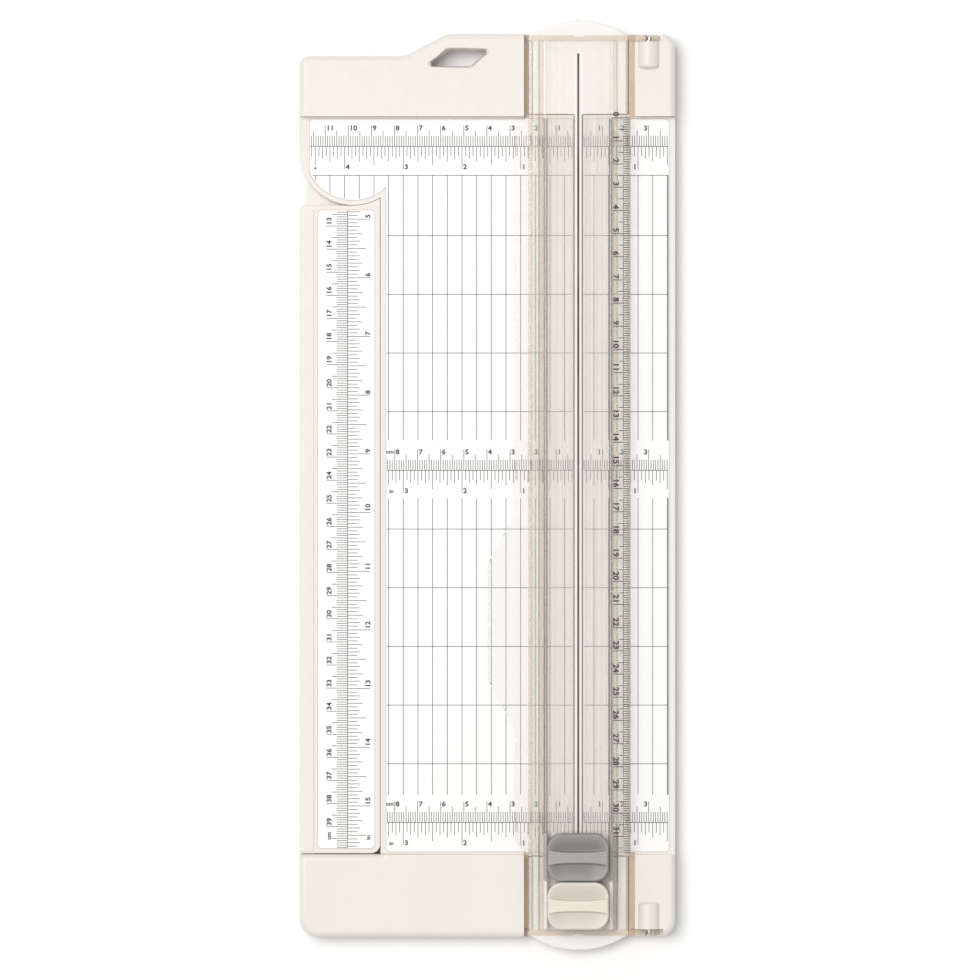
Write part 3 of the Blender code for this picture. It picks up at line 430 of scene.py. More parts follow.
def clear(name, depth_color, density, haze=0.03, haze_color=(0.86, 0.84, 0.80), streak=0.02, gloss=0.04):
    """Clear plastic: it bends what lies behind it, its tint deepens with the way through it, and fine
    streaks from its extruding run along it. Lamps shine through it."""
    g = Graph(name)
    streaks = g.noise(900, 3, stretch=(1.0, 0.003, 1.0))
    scuff = g.noise(420, 3, stretch=(1.0, 0.08, 1.0))
    bump = g.node("ShaderNodeBump", {"Strength": 0.04, "Distance": 0.00003, "Height": streaks})
    rough = g.spread(scuff, gloss, gloss + 0.05)
    tint = g.blend(g.spread(streaks, 0.0, 1.0), (1.0, 1.0, 1.0), (1 - streak, 1 - streak, 1 - streak))
    inputs = {"Base Color": tint, "Roughness": rough, "Normal": bump.outputs[0]}
    glass = g.node("ShaderNodeBsdfPrincipled", inputs)
    glass.inputs["Transmission Weight"].default_value = 1.0
    glass.inputs["IOR"].default_value = 1.49
    scatter = g.node("ShaderNodeBsdfDiffuse", {"Color": (*haze_color, 1)}).outputs[0]
    amount = g.spread(streaks, haze * 0.5, haze * 1.5)
    body = g.node("ShaderNodeMixShader", {0: amount, 1: glass.outputs[0], 2: scatter}).outputs[0]
    open_way = g.node("ShaderNodeBsdfTransparent", {"Color": (0.985, 0.98, 0.972, 1)}).outputs[0]
    light_path = g.node("ShaderNodeLightPath").outputs
    body = g.node("ShaderNodeMixShader", {0: light_path["Is Diffuse Ray"], 1: body, 2: open_way}).outputs[0]
    absorb = g.node("ShaderNodeVolumeAbsorption", {"Color": (*depth_color, 1), "Density": density})
    g.tree.links.new(absorb.outputs[0], g.output.inputs["Volume"])
    lamps_pass = g.node("ShaderNodeMixShader", {0: light_path["Is Shadow Ray"], 1: body, 2: open_way})
    return g.finish(lamps_pass.outputs[0])


pad_top_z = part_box("cutter_pad")[1].z
# How far below a pad's top its painted dish shade starts, and how far down it reaches full strength.
pad_shade = (pad_top_z - 0.0002, 0.0012)

rail_half = (rail_right - rail_left) / 2
side_gaps = (rail_left + rail_half, rail_half - 0.0001, rail_half + TROUGH_SIDE_GAP + 0.0001)
# The gaps beside the rail in the end bars are painted darker and amber: painted shade, with a painted amber tint
# of light through the rail's edges.
cream = moulded(
    "cream_plastic",
    (0.786, 0.739, 0.684),
    0.42,
    painted_gap_shade=(*side_gaps, BAR_TOP - 0.0010, (0.58, 0.46, 0.35)),
)
# Its blade groove is painted dark brown: painted shade in the groove.
white_moulding = moulded(
    "white_plastic",
    (0.845, 0.83, 0.81),
    0.36,
    mottle=0.01,
    painted_gap_shade=(cut_x, 0.0, GROOVE_SHADE_HALF, strip_high.z - 0.00015, (0.19, 0.095, 0.035)),
)
# The pads' plastics are painted darker below the pads' tops: painted shade in the dishes and on the pieces under
# the pads.
grey = moulded("grey_plastic", (0.345, 0.332, 0.315), 0.40, grain=0.5, shade=(*pad_shade, 0.60))
pale = moulded("pale_plastic", (0.745, 0.690, 0.600), 0.40, grain=0.5, shade=(*pad_shade, 0.80))
grey_slider = moulded("grey_slider", (0.345, 0.332, 0.315), 0.40)
pale_slider = moulded("pale_slider", (0.80, 0.78, 0.75), 0.40)
label_white = coated_label("printed_white", (0.90, 0.895, 0.885))
label_ink = ink("scale_ink", (0.028, 0.027, 0.027))
rail_ink = ink("rail_ink", (0.020, 0.020, 0.020))
foot_black = rubber("foot_rubber", (0.030, 0.030, 0.031), 0.75)
grip_grey = rubber("grip_rubber", (0.15, 0.146, 0.142), 0.65)
pin_steel = brushed_steel("pin_steel", (0.62, 0.62, 0.63), 0.28, "y")
flat_steel = brushed_steel("plate_steel", (0.58, 0.59, 0.61), 0.30, "x")
rail_clear = clear("rail_clear", (0.80, 0.69, 0.56), 60.0, haze=0.015)
end_clear = clear("end_clear", (0.80, 0.68, 0.54), 80.0, haze=0.03)
# A dim grey-brown haze on the sheet under the rail: painted shade of the rail on the deck.
shade_sheet_clear = clear("shade_sheet_clear", (0.78, 0.74, 0.74), 150.0, haze=0.12, haze_color=(0.52, 0.49, 0.46))


# ---- making solids ----


def arc(center, radius, start, end):
    """Points on an arc between two angles, with steps as fine as its radius needs."""
    step = 2 * acos(max(0.0, 1 - ARC_TOLERANCE / radius))
    steps = max(2, ceil(abs(end - start) / step))
    angles = (start + (end - start) * i / steps for i in range(steps + 1))
    return [(center[0] + radius * cos(a), center[1] + radius * sin(a)) for a in angles]


def rounded(corners):
    """An outline's points from its corners, each (x, y) or (x, y, radius of its rounding)."""
    points = []
    for i, corner in enumerate(corners):
        x, y, radius = (*corner, 0.0)[:3]
        if not radius:
            points.append((x, y))
            continue
        before, after = corners[i - 1], corners[(i + 1) % len(corners)]
        into = atan2(before[1] - y, before[0] - x)
        out = atan2(after[1] - y, after[0] - x)
        half = acos(max(-1.0, min(1.0, cos(out - into)))) / 2
        turn = atan2(sin(out - into), cos(out - into))
        reach = radius / sin(half)
        center = (x + reach * cos(into + turn / 2), y + reach * sin(into + turn / 2))
        side = 1 if turn > 0 else -1
        start = into - side * pi / 2
        points += arc(center, radius, start, start - side * (pi - 2 * half))
    return points


def rectangle(left, low, right, high, radius=0.0):
    """A rectangle's outline, with its corners rounded if asked."""
    return rounded([(x, y, radius) for x, y in ((left, low), (right, low), (right, high), (left, high))])


def placed(name, data):
    """A new object in the scene."""
    obj = bpy.data.objects.new(name, data)
    bpy.context.scene.collection.objects.link(obj)
    return obj


def written(name, bm):
    """A new object with a bmesh's mesh, as it is."""
    mesh = bpy.data.meshes.new(name)
    bm.to_mesh(mesh)
    bm.free()
    return placed(name, mesh)


def new_object(name, bm):
    """A new object with a bmesh's mesh, welded, with its faces pointing out."""
    bmesh.ops.remove_doubles(bm, verts=bm.verts, dist=SAME_PLACE)
    bmesh.ops.recalc_face_normals(bm, faces=bm.faces)
    return written(name, bm)


@contextmanager
def opened(mesh):
    """A mesh's bmesh, which is written back to it at the end."""
    bm = bmesh.new()
    bm.from_mesh(mesh)
    yield bm
    bm.to_mesh(mesh)
    bm.free()


def as_shown(obj):
    """The mesh of an object or a curve with its modifiers or its bevel."""
    bpy.context.view_layer.update()
    return bpy.data.meshes.new_from_object(obj.evaluated_get(bpy.context.evaluated_depsgraph_get()))


def bevel(bm, edges, width, segments):
    bmesh.ops.bevel(
        bm, geom=edges, offset=width, offset_type="OFFSET", segments=segments, profile=0.5, affect="EDGES"
    )


def prism(name, outline, low, high, upright=False):
    """A solid of an outline in XY between two heights, or in XZ between two places on Y."""
    bm = bmesh.new()
    if upright:
        verts = [bm.verts.new((x, low, z)) for x, z in outline]
        lift = (0, high - low, 0)
    else:
        verts = [bm.verts.new((x, y, low)) for x, y in outline]
        lift = (0, 0, high - low)
    face = bm.faces.new(verts)
    grown = bmesh.ops.extrude_face_region(bm, geom=[face])
    tops = [part for part in grown["geom"] if isinstance(part, bmesh.types.BMVert)]
    bmesh.ops.translate(bm, vec=lift, verts=tops)
    return new_object(name, bm)


def block(name, low, high):
    """A box between two corners."""
    return prism(name, rectangle(*low[:2], *high[:2]), low[2], high[2])


def rod(name, radius, start, stop, end_round=0.0, segments=64):
    """A round bar along Y or Z between two points, with its ends rounded if asked."""
    way = Vector(stop) - Vector(start)
    length = way.length
    profile = [(0, 0), (radius, 0, end_round), (radius, length, end_round), (0, length)]
    obj = turned(name, rounded(profile), segments)
    turn = Vector((0, 0, 1)).rotation_difference(way.normalized()).to_matrix().to_4x4()
    obj.data.transform(Matrix.Translation(start) @ turn)
    return obj


def turned(name, profile, segments=64):
    """A solid turned about the Z axis from (radius, height) points that start and end on it."""
    bm = bmesh.new()
    verts = [bm.verts.new((r, 0, z)) for r, z in profile]
    edges = [bm.edges.new(pair) for pair in zip(verts, verts[1:])]
    if profile[0][0] > 0:
        edges.append(bm.edges.new((verts[-1], verts[0])))
    bmesh.ops.spin(
        bm, geom=verts + edges, cent=(0, 0, 0), axis=(0, 0, 1), angle=2 * pi, steps=segments
    )
    return new_object(name, bm)


def round_rim(obj, width, segments):
    """Rounds the edges around a prism's top face."""
    with opened(obj.data) as bm:
        top = max(v.co.z for v in bm.verts)
        edges = [
            e
            for e in bm.edges
            if all(abs(v.co.z - top) < SAME_PLACE for v in e.verts)
            and any(abs(f.normal.z) < 0.5 for f in e.link_faces)
        ]
        bevel(bm, edges, width, segments)


def combine(obj, others, operation):
    """Cuts the others out of obj, or joins them to it, and removes them."""
    for other in others:
        boolean = obj.modifiers.new(other.name, "BOOLEAN")
        boolean.operation = operation
        boolean.object = other
        boolean.solver = "EXACT"
    apply_modifiers(obj)
    sort_mesh(obj)
    for other in others:
        bpy.data.objects.remove(other)
    return obj


def sort_mesh(obj):
    """Puts vertices and faces in order of place: a Boolean's own order varies from run to run."""
    mesh = obj.data
    places = [tuple(v.co) for v in mesh.vertices]
    order = sorted(range(len(places)), key=places.__getitem__)
    rank = {old: new for new, old in enumerate(order)}
    rings = []
    for polygon in mesh.polygons:
        ring = [rank[i] for i in polygon.vertices]
        start = ring.index(min(ring))
        rings.append(ring[start:] + ring[:start])
    mesh.clear_geometry()
    mesh.from_pydata([places[i] for i in order], [], sorted(rings))


def cut(obj, *cutters):
    return combine(obj, cutters, "DIFFERENCE")


def add(obj, *extras):
    return combine(obj, extras, "UNION")


def apply_modifiers(obj):
    old = obj.data
    obj.data = as_shown(obj)
    obj.modifiers.clear()
    bpy.data.meshes.remove(old)


def soften(obj, width=EDGE, segments=2, angle=40):
    """Rounds the sharp edges that are left after cutting, where there is room for it."""
    with opened(obj.data) as bm:
        bmesh.ops.remove_doubles(bm, verts=bm.verts, dist=SAME_PLACE * 4)
        bmesh.ops.dissolve_limit(bm, angle_limit=radians(0.5), verts=bm.verts, edges=bm.edges)
        crowded = {v for v in bm.verts if any(e.calc_length() < 2.5 * width for e in v.link_edges)}
        edges = [
            e
            for e in bm.edges
            if len(e.link_faces) == 2
            and e.calc_face_angle() > radians(angle)
            and not crowded.intersection(e.verts)
        ]
        bevel(bm, edges, width, segments)


def smooth(obj, angle):
    """Smooth shading, with sharp edges and flat faces kept."""
    obj.data.shade_smooth()
    obj.data.set_sharp_from_angle(angle=radians(angle))
    weigh = obj.modifiers.new("Normals", "WEIGHTED_NORMAL")
    weigh.keep_sharp = True
    apply_modifiers(obj)


def settle(obj, body, slot, material, *nodes, angle=35):
    """Finishes a piece: its shading, material, body, and the CAD nodes that it stands for."""
    smooth(obj, angle)
    obj.data.materials.clear()
    obj.data.materials.append(material)
    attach(obj, body)
    if nodes:
        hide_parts(*nodes)
    return obj


# ---- base ----


def base_outline():
    """The base's plan: a slope in its top edge, and a notch on its left that takes the arm."""
    w, h = half_width, half_length
    drop = acos((deck_left - pivot_x) / PIVOT_RADIUS)
    slope_low, slope_high = SHOULDER_SLOPE_X
    return rounded(
        [
            (-w, SHOULDER_Y, CORNER_RADII["top_left"]),
            (slope_low, SHOULDER_Y, SLOPE_RADIUS),
            (slope_high, h, SLOPE_RADIUS),
            (w, h, CORNER_RADII["top_right"]),
            (w, -h, CORNER_RADII["low_right"]),
            (-w, -h, CORNER_RADII["low_left"]),
            (-w, -deck_half_length),
            (deck_left, -deck_half_length),
            *arc((pivot_x, pivot_y), PIVOT_RADIUS, -drop, -pi),
        ]
    )


def plate_outline(right, right_corner, grow=0.0):
    """A plan that follows the arm's notch and the pivot's round corner, from the left plate's left
    side to a right side, grown all round if asked."""
    left, low_left, long = left_plate_low.x - grow, plate_low_left() - grow, plate_half_length + grow
    corner, radius = PLATE_CORNER + grow, PIVOT_RADIUS - PIVOT_LIP + grow
    first = -acos((low_left - pivot_x) / radius)
    last = acos((pivot_x - left) / radius) - pi
    return rounded(
        [
            (left, long, corner),
            (right, long, right_corner),
            (right, -long, right_corner),
            (low_left, -long, corner),
            *arc((pivot_x, pivot_y), radius, first, last),
        ]
    )


def plate_low_left():
    """The left plate's edge along the arm, from its own low corner."""
    low = min(frame["nodes"]["scale_plate_left"].data.vertices, key=lambda v: v.co.y)
    return low.co.x - PLATE_CORNER


def pockets():
    """The hollows under the base: between the deck's ribs, and inside the end bars."""
    low = skirt_bottom - THROUGH
    reach, edge = deck_half_length - WALL, half_width - WALL
    spine = [cut_x + s * (strip_half_width + 1.5 * WALL) for s in (-1, 1)]
    rib = [DECK_RIB_X + s * RIB / 2 for s in (-1, 1)]
    columns = ((deck_left + 2 * WALL, rib[0]), (rib[1], spine[0]), (spine[1], edge))
    pitch = 2 * reach / DECK_ROWS
    made = []
    for left, right in columns:
        for row in range(DECK_ROWS):
            start = row * pitch - reach
            made.append(((left, start, low), (right, start + pitch - RIB, DECK_UNDERSIDE)))
    near, far = deck_half_length + WALL, end_face - 2 * WALL
    top_end, hole_side = SHOULDER_Y - 2 * WALL, HANG_HOLE_CORNERS[0][1] - WALL
    trough_left, trough_right = rail_left - TROUGH_SIDE_GAP, rail_right + TROUGH_SIDE_GAP
    bar_rib = [BAR_RIB_X + s * RIB / 2 for s in (-1, 1)]
    bar_ceiling, trough_ceiling = BAR_TOP - WALL, strip_low.z - GAP - RIB
    fields = (
        (BAR_POCKET_LEFT, bar_rib[0], top_end, bar_ceiling),
        (bar_rib[1], trough_left - WALL, hole_side, bar_ceiling),
        (trough_left + WALL, spine[0], far, trough_ceiling),
        (spine[1], trough_right - WALL, far, trough_ceiling),
    )
    for left, right, outer, ceiling in fields:
        made.append(((left, near, low), (right, outer, ceiling)))
        made.append(((left, -far, low), (right, -near, ceiling)))
    cutters = [pocket(f"pocket_{i}", *corners) for i, corners in enumerate(made)]
    for side in ("left", "right"):
        place = node_center(f"foot_mid_{side}")
        for cutter, (near, far) in zip(cutters, made):
            if all(near[i] - FOOT_SEAT < place[i] < far[i] + FOOT_SEAT for i in (0, 1)):
                cut(cutter, foot_seat(place, low - THROUGH))
    return cutters


def pocket(name, low, high):
    """A hollow's cutter, with rounded corners and a rounded ceiling."""
    made = prism(name, rectangle(*low[:2], *high[:2], POCKET_CORNER), low[2], high[2])
    round_rim(made, POCKET_CEILING_ROUND, 3)
    return made


def trough_cutters():
    """Room for the rail and the cutting strip, and for the rail's end plates."""
    long, high = half_length + THROUGH, BAR_TOP + THROUGH
    left, right = rail_left - TROUGH_SIDE_GAP, rail_right + TROUGH_SIDE_GAP
    wide, narrow = grip_half_width + GAP, strip_half_width
    floor = strip_low.z - GAP
    trough = [
        block("rail_trough", (left, -long, TROUGH_FLOOR), (right, long, high)),
        block("strip_groove", (cut_x - narrow, -long, floor), (cut_x + narrow, long, high)),
    ]
    recesses = []
    for sign in (1, -1):
        ys = sorted((sign * (deck_half_length + SEAT_PAST_DECK), sign * long))
        trough.append(block("seat", (cut_x - wide, ys[0], floor), (cut_x + wide, ys[1], high)))
        ys = sorted((sign * end_face, sign * long))
        recesses.append(block("recess", (left, ys[0], floor), (END_RECESS_RIGHT, ys[1], high)))
    return trough, recesses


def knuckle(sign):
    """The boss that holds a hinge pin: round on top, straight below, its inner end softened."""
    r, foot = KNUCKLE_RADIUS, BAR_TOP - OVERLAP
    inner = sign * KNUCKLE_START
    ys = sorted((inner, sign * (end_face - FLUSH_STEP)))
    section = [(hinge_x - r, foot), *arc((hinge_x, hinge_z), r, pi, 0), (hinge_x + r, foot)]
    boss = prism("knuckle", section, *ys, upright=True)
    with opened(boss.data) as bm:
        rim = [
            e
            for e in bm.edges
            if all(abs(v.co.y - inner) < SAME_PLACE and v.co.z > foot + SAME_PLACE for v in e.verts)
        ]
        bevel(bm, rim, KNUCKLE_END_ROUND, 5)
    return boss


def foot_seat(place, bottom):
    """The solid block above a foot that sits below a hollow."""
    low = (place.x - FOOT_SEAT, place.y - FOOT_SEAT, bottom)
    high = (place.x + FOOT_SEAT, place.y + FOOT_SEAT, DECK_UNDERSIDE + OVERLAP)
    return block("seat", low, high)


def node_center(name):
    low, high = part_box(name)
    return (low + high) / 2


def hang_hole_cutters(low):
    """The slanted window in the top bar, and the flare round its mouth."""
    outline = rounded([(*corner, HANG_HOLE_RADIUS) for corner in HANG_HOLE_CORNERS])
    window = prism("hang_hole", outline, low, BAR_TOP + THROUGH)
    flare = prism("hang_flare", outline, BAR_TOP - HANG_HOLE_LIP, BAR_TOP + HANG_HOLE_LIP)
    flare_out(flare, HANG_HOLE_LIP * 2)
    return window, flare


def base_body():
    """The base: a deck between two end bars, hollow below, with the rail's trough and knuckles."""
    base = prism("base_body", base_outline(), skirt_bottom, BAR_TOP)
    round_rim(base, BAR_EDGE_ROUND, 8)
    wide, low = half_width + THROUGH, skirt_bottom - THROUGH
    above = BAR_TOP + THROUGH
    deck = block("deck", (-wide, -deck_half_length, DECK_RIM_TOP), (wide, deck_half_length, above))
    bed = plate_outline(right_plate_high.x + PLATE_GAP, PLATE_CORNER + PLATE_GAP, PLATE_GAP)
    cut(base, deck, prism("bed", bed, DECK_FLOOR, BAR_TOP), *hang_hole_cutters(low))
    trough, recesses = trough_cutters()
    cut(base, *trough)
    cut(base, *pockets())
    pivot = (pivot_x, pivot_y)
    room = rod("room", PIVOT_ROOM_RADIUS, (*pivot, low), (*pivot, DECK_UNDERSIDE), segments=96)
    way = block("way", (-wide, pivot_y, low), (pivot_x, arm_high.y + GAP, DECK_UNDERSIDE))
    cut(base, room, way)
    boss_top = (DECK_UNDERSIDE + DECK_FLOOR) / 2
    add(base, rod("boss", PIVOT_BOSS_RADIUS, (*pivot, PIVOT_BOSS_BOTTOM), (*pivot, boss_top)))
    cut(base, rod("bore", PIVOT_BORE_RADIUS, (*pivot, low), (*pivot, PIVOT_BORE_TOP)), *recesses)
    for sign in (1, -1):
        add(base, knuckle(sign))
        ends = sorted((sign * PIN_BORE_END, sign * (end_face + THROUGH)))
        start, stop = (hinge_x, ends[0], hinge_z), (hinge_x, ends[1], hinge_z)
        cut(base, rod("pin_bore", pin_radius + GAP, start, stop))
    soften(base)
    return settle(base, "base", "cream_plastic", cream, "base_shell")


def flare_out(obj, width):
    """Widens a prism's top face, so that it cuts a slanted lip."""
    mesh = obj.data
    center = sum((v.co for v in mesh.vertices), Vector()) / len(mesh.vertices)
    top = max(v.co.z for v in mesh.vertices)
    for vertex in mesh.vertices:
        if vertex.co.z > top - SAME_PLACE:
            out = Vector((vertex.co.x - center.x, vertex.co.y - center.y, 0)).normalized()
            vertex.co += out * width


# ---- plates and strip ----


def printed_plates():
    """The deck's two plates, beside the cutting strip, and the arm's one."""
    right_side, long = right_plate_high.x, plate_half_length
    right_outline = rounded(
        [
            (right_plate_low.x, long),
            (right_side, long, PLATE_CORNER),
            (right_side, -long, PLATE_CORNER),
            (right_plate_low.x, -long),
        ]
    )
    low, high = arm_plate_low, arm_plate_high
    plates = (
        ("plate_left", "base", plate_outline(left_plate_high.x, 0.0), "scale_plate_left"),
        ("plate_right", "base", right_outline, "scale_plate_right"),
        ("plate_arm", "arm", rectangle(low.x, low.y, high.x, high.y, PLATE_CORNER), "arm_scale_plate"),
    )
    for name, body, outline, node in plates:
        low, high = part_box(node)
        plate = prism(name, outline, low.z, high.z)
        round_rim(plate, PLATE_EDGE_ROUND, 2)
        settle(plate, body, "printed_white", label_white, node)


def strip():
    """The white cutting strip: wide in the end bars, round at its grips, with the blade's groove."""
    radius = STRIP_GRIP_RADIUS
    sweep = acos(sqrt(1 - (grip_half_width / radius) ** 2))
    top = arc((cut_x, strip_high.y - radius), radius, pi / 2 + sweep, pi / 2 - sweep)
    neck, narrow = deck_half_length + NECK_PAST_DECK, strip_half_width - GAP
    steps = ((grip_half_width, neck), (narrow, neck), (narrow, -neck), (grip_half_width, -neck))
    right = [(cut_x + x, y, STRIP_NECK_ROUND) for x, y in steps]
    low = [(x, -y) for x, y in reversed(top)]
    left = [(cut_x - x, y, STRIP_NECK_ROUND) for x, y in reversed(steps)]
    made = prism("strip", rounded(top + right + low + left), strip_low.z, strip_high.z)
    round_rim(made, STRIP_EDGE_ROUND, 3)
    shoulder, mouth = GROOVE_BOTTOM + GROOVE_DROP, strip_high.z + THROUGH
    groove = [
        (cut_x - GROOVE_HALF_WIDTH, shoulder, GROOVE_DROP / 2),
        (cut_x, GROOVE_BOTTOM),
        (cut_x + GROOVE_HALF_WIDTH, shoulder, GROOVE_DROP / 2),
        (cut_x + GROOVE_MOUTH_HALF, mouth),
        (cut_x - GROOVE_MOUTH_HALF, mouth),
    ]
    ends = (-GROOVE_HALF_LENGTH, GROOVE_HALF_LENGTH)
    cut(made, prism("groove", rounded(groove), *ends, upright=True))
    return settle(made, "base", "white_plastic", white_moulding, "cutting_strip")


# ---- arm ----


def arm_outline():
    """The arm's plan, with the hollow curve that fits round the base's pivot corner."""
    radius, right = PIVOT_RADIUS + ARM_GAP, deck_left - ARM_GAP
    meet = acos((right - pivot_x) / radius)
    tip = GAP - deck_half_length
    return rounded(
        [
            (right, tip, ARM_TIP_RADII[1]),
            (-half_width, tip, ARM_TIP_RADII[0]),
            (-half_width, pivot_y - radius, ARM_SHOULDER_RADIUS),
            *arc((pivot_x, pivot_y), radius, -pi / 2, -meet),
        ]
    )


def arm_hollows():
    """The hollows under the arm, with the seats of its feet left standing."""
    start, stop = GAP - deck_half_length + 3 * WALL, pivot_y - PIVOT_RADIUS - 3 * WALL
    pitch = (stop - start) / ARM_POCKETS
    floor = skirt_bottom - THROUGH
    left, right = WALL - half_width, ARM_RIGHT - WALL
    feet = [node_center(f"arm_foot_{name}") for name in ("near", "far")]
    hollows = []
    for i in range(ARM_POCKETS):
        near, far = start + i * pitch, start + (i + 1) * pitch
        hollow = pocket(f"arm_pocket_{i}", (left, near, floor), (right, far - RIB, DECK_UNDERSIDE))
        for place in feet:
            if near - FOOT_SEAT < place.y < far + FOOT_SEAT:
                cut(hollow, foot_seat(place, floor - THROUGH))
        hollows.append(hollow)
    return hollows


def tongue():
    """The arm's round end, which turns under the deck's corner."""
    reach = arm_high.y - pivot_y
    side, root = ARM_RIGHT - RIB, pivot_y - PIVOT_RADIUS - WALL
    round_end = arc((pivot_x, pivot_y), reach, pi, 0)
    leg = [(side, pivot_y - TONGUE_SHOULDER), (side, root), (pivot_x - reach, root)]
    made = prism("tongue", round_end + leg, *TONGUE_Z)
    round_rim(made, TONGUE_EDGE_ROUND, 2)
    return made


def arm_body():
    arm = prism("arm_body", arm_outline(), skirt_bottom, DECK_RIM_TOP)
    round_rim(arm, ARM_EDGE_ROUND, 4)
    low, high, above = arm_plate_low, arm_plate_high, DECK_RIM_TOP + THROUGH
    grow = PLATE_GAP
    grown = rectangle(low.x - grow, low.y - grow, high.x + grow, high.y + grow, PLATE_CORNER + grow)
    bed = prism("arm_bed", grown, DECK_FLOOR, above)
    band_x = low.x - ARM_BAND_ASIDE
    groove = block(
        "band_groove",
        (band_x - ARM_BAND_GROOVE, -half_length, DECK_RIM_TOP - ARM_BAND_DEPTH),
        (band_x, pivot_y - PIVOT_RADIUS - ARM_BAND_STOP, above),
    )
    step = block(
        "band_end",
        (-half_width - THROUGH, -half_length, DECK_RIM_TOP - ARM_END_DEPTH),
        (band_x, GAP - deck_half_length + ARM_BAND_END, above),
    )
    cut(arm, bed, groove, step)
    cut(arm, *arm_hollows())
    add(arm, tongue())
    low, high = (pivot_x, pivot_y, TONGUE_Z[0] - THROUGH), (pivot_x, pivot_y, TONGUE_Z[1] + THROUGH)
    cut(arm, rod("tongue_hole", PIVOT_BOSS_RADIUS + GAP, low, high))
    soften(arm, EDGE * 0.8)
    return settle(arm, "arm", "cream_plastic", cream, "ruler_arm")


# ---- rail ----


def rail_section():
    """The rail's section: a track with inward lips between two hollow ledges, all softly rounded."""
    left, right = rail_left, rail_right
    wall, low, top = RAIL_WALL, rail_low.z, rail_high.z
    floor, ledge = RAIL_FLOOR_TOP, RAIL_LEDGE_BOTTOM
    hollow = ledge - wall / 8
    small, big = RAIL_SMALL_ROUND, RAIL_ROUND
    half, rib_top = FLOOR_RIB_HALF_WIDTH, floor + FLOOR_RIB_HEIGHT
    ribs = []
    for x in FLOOR_RIBS:
        ribs += [(x - half, floor), (x - half / 2, rib_top), (x + half / 2, rib_top), (x + half, floor)]
    track_left, track_right = TRACK_X
    mouth_left, mouth_right = TRACK_MOUTH_X
    corners = [
        (left, low, small),
        (left, top, big),
        (mouth_left, top, small * 2),
        (mouth_left, ledge, small),
        (track_left, ledge, small),
        (track_left, floor, small),
        *ribs,
        (track_right, floor, small),
        (track_right, ledge, small),
        (mouth_right, ledge, small),
        (mouth_right, top, small * 2),
        (right, top, big),
        (right, low, small),
        (right - wall, low, small),
        (right - wall, hollow, big),
        (track_right + wall, hollow, big),
        (track_right + wall, low, small),
        (track_left - wall, low, small),
        (track_left - wall, hollow, big),
        (left + wall, hollow, big),
        (left + wall, low, small),
    ]
    return rounded(corners)


def flange_outline():
    """The paper hold-down lip along the rail's left foot, with its finger tab."""
    root = rail_left + RAIL_WALL / 2
    edge, long, nip = FLANGE_LEFT, FLANGE_HALF_LENGTH, FLANGE_CHAMFER
    tab_low, tab_high = FINGER_TAB_Y
    slant, tab = FINGER_TAB_SLANT, rail_low.x
    end_round, nip_round, slant_round, tab_round = FLANGE_ROUNDS
    return rounded(
        [
            (root, long),
            (root, -long),
            (edge + nip, -long, end_round),
            (edge, nip - long, nip_round),
            (edge, tab_low - slant, slant_round),
            (tab, tab_low, tab_round),
            (tab, tab_high, tab_round),
            (edge, tab_high + slant, slant_round),
            (edge, long - nip, nip_round),
            (edge + nip, long, end_round),
        ]
    )


def rail_body():
    rail = prism("rail_body", rail_section(), rail_low.y, rail_high.y, upright=True)
    flange = prism("flange", flange_outline(), *FLANGE_Z)
    round_rim(flange, FLANGE_EDGE_ROUND, 3)
    add(rail, flange)
    half, long = SLOT_HALF_WIDTH, SLOT_HALF_LENGTH
    slot = rectangle(cut_x - half, -long, cut_x + half, long, SLOT_CORNER)
    cut(rail, prism("slot", slot, rail_low.z - THROUGH, RAIL_FLOOR_TOP + THROUGH / 2))
    return settle(rail, "rail", "clear_plastic", rail_clear, "clear_rail")


def rail_shade_sheet():
    """A hazy sheet under the rail, along the deck, between its rubber strips and its slot: it dims the deck
    beneath, painted shade of the rail.
    """
    (left_low, left_high), (right_low, right_high) = (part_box(f"grip_strip_{s}") for s in ("left", "right"))
    spans = (
        (rail_left, left_low.x),
        (left_high.x, cut_x - SLOT_HALF_WIDTH),
        (cut_x + SLOT_HALF_WIDTH, right_low.x),
        (right_high.x, rail_right),
    )
    top, long, inset = rail_low.z - SHADE_SHEET_GAP, FLANGE_HALF_LENGTH, SHADE_SHEET_MARGIN
    parts = []
    for left, right in spans:
        outline = rectangle(left + inset, -long, right - inset, long, SHADE_SHEET_CORNER)
        parts.append(prism("shade_sheet", outline, top - SHADE_SHEET_THICKNESS, top))
    return settle(join("rail_shade_sheet", parts), "rail", "clear_plastic", shade_sheet_clear)


def join(name, parts):
    """One object from several that don't touch."""
    bm = bmesh.new()
    for part in parts:
        bm.from_mesh(part.data)
        bpy.data.objects.remove(part)
    return written(name, bm)


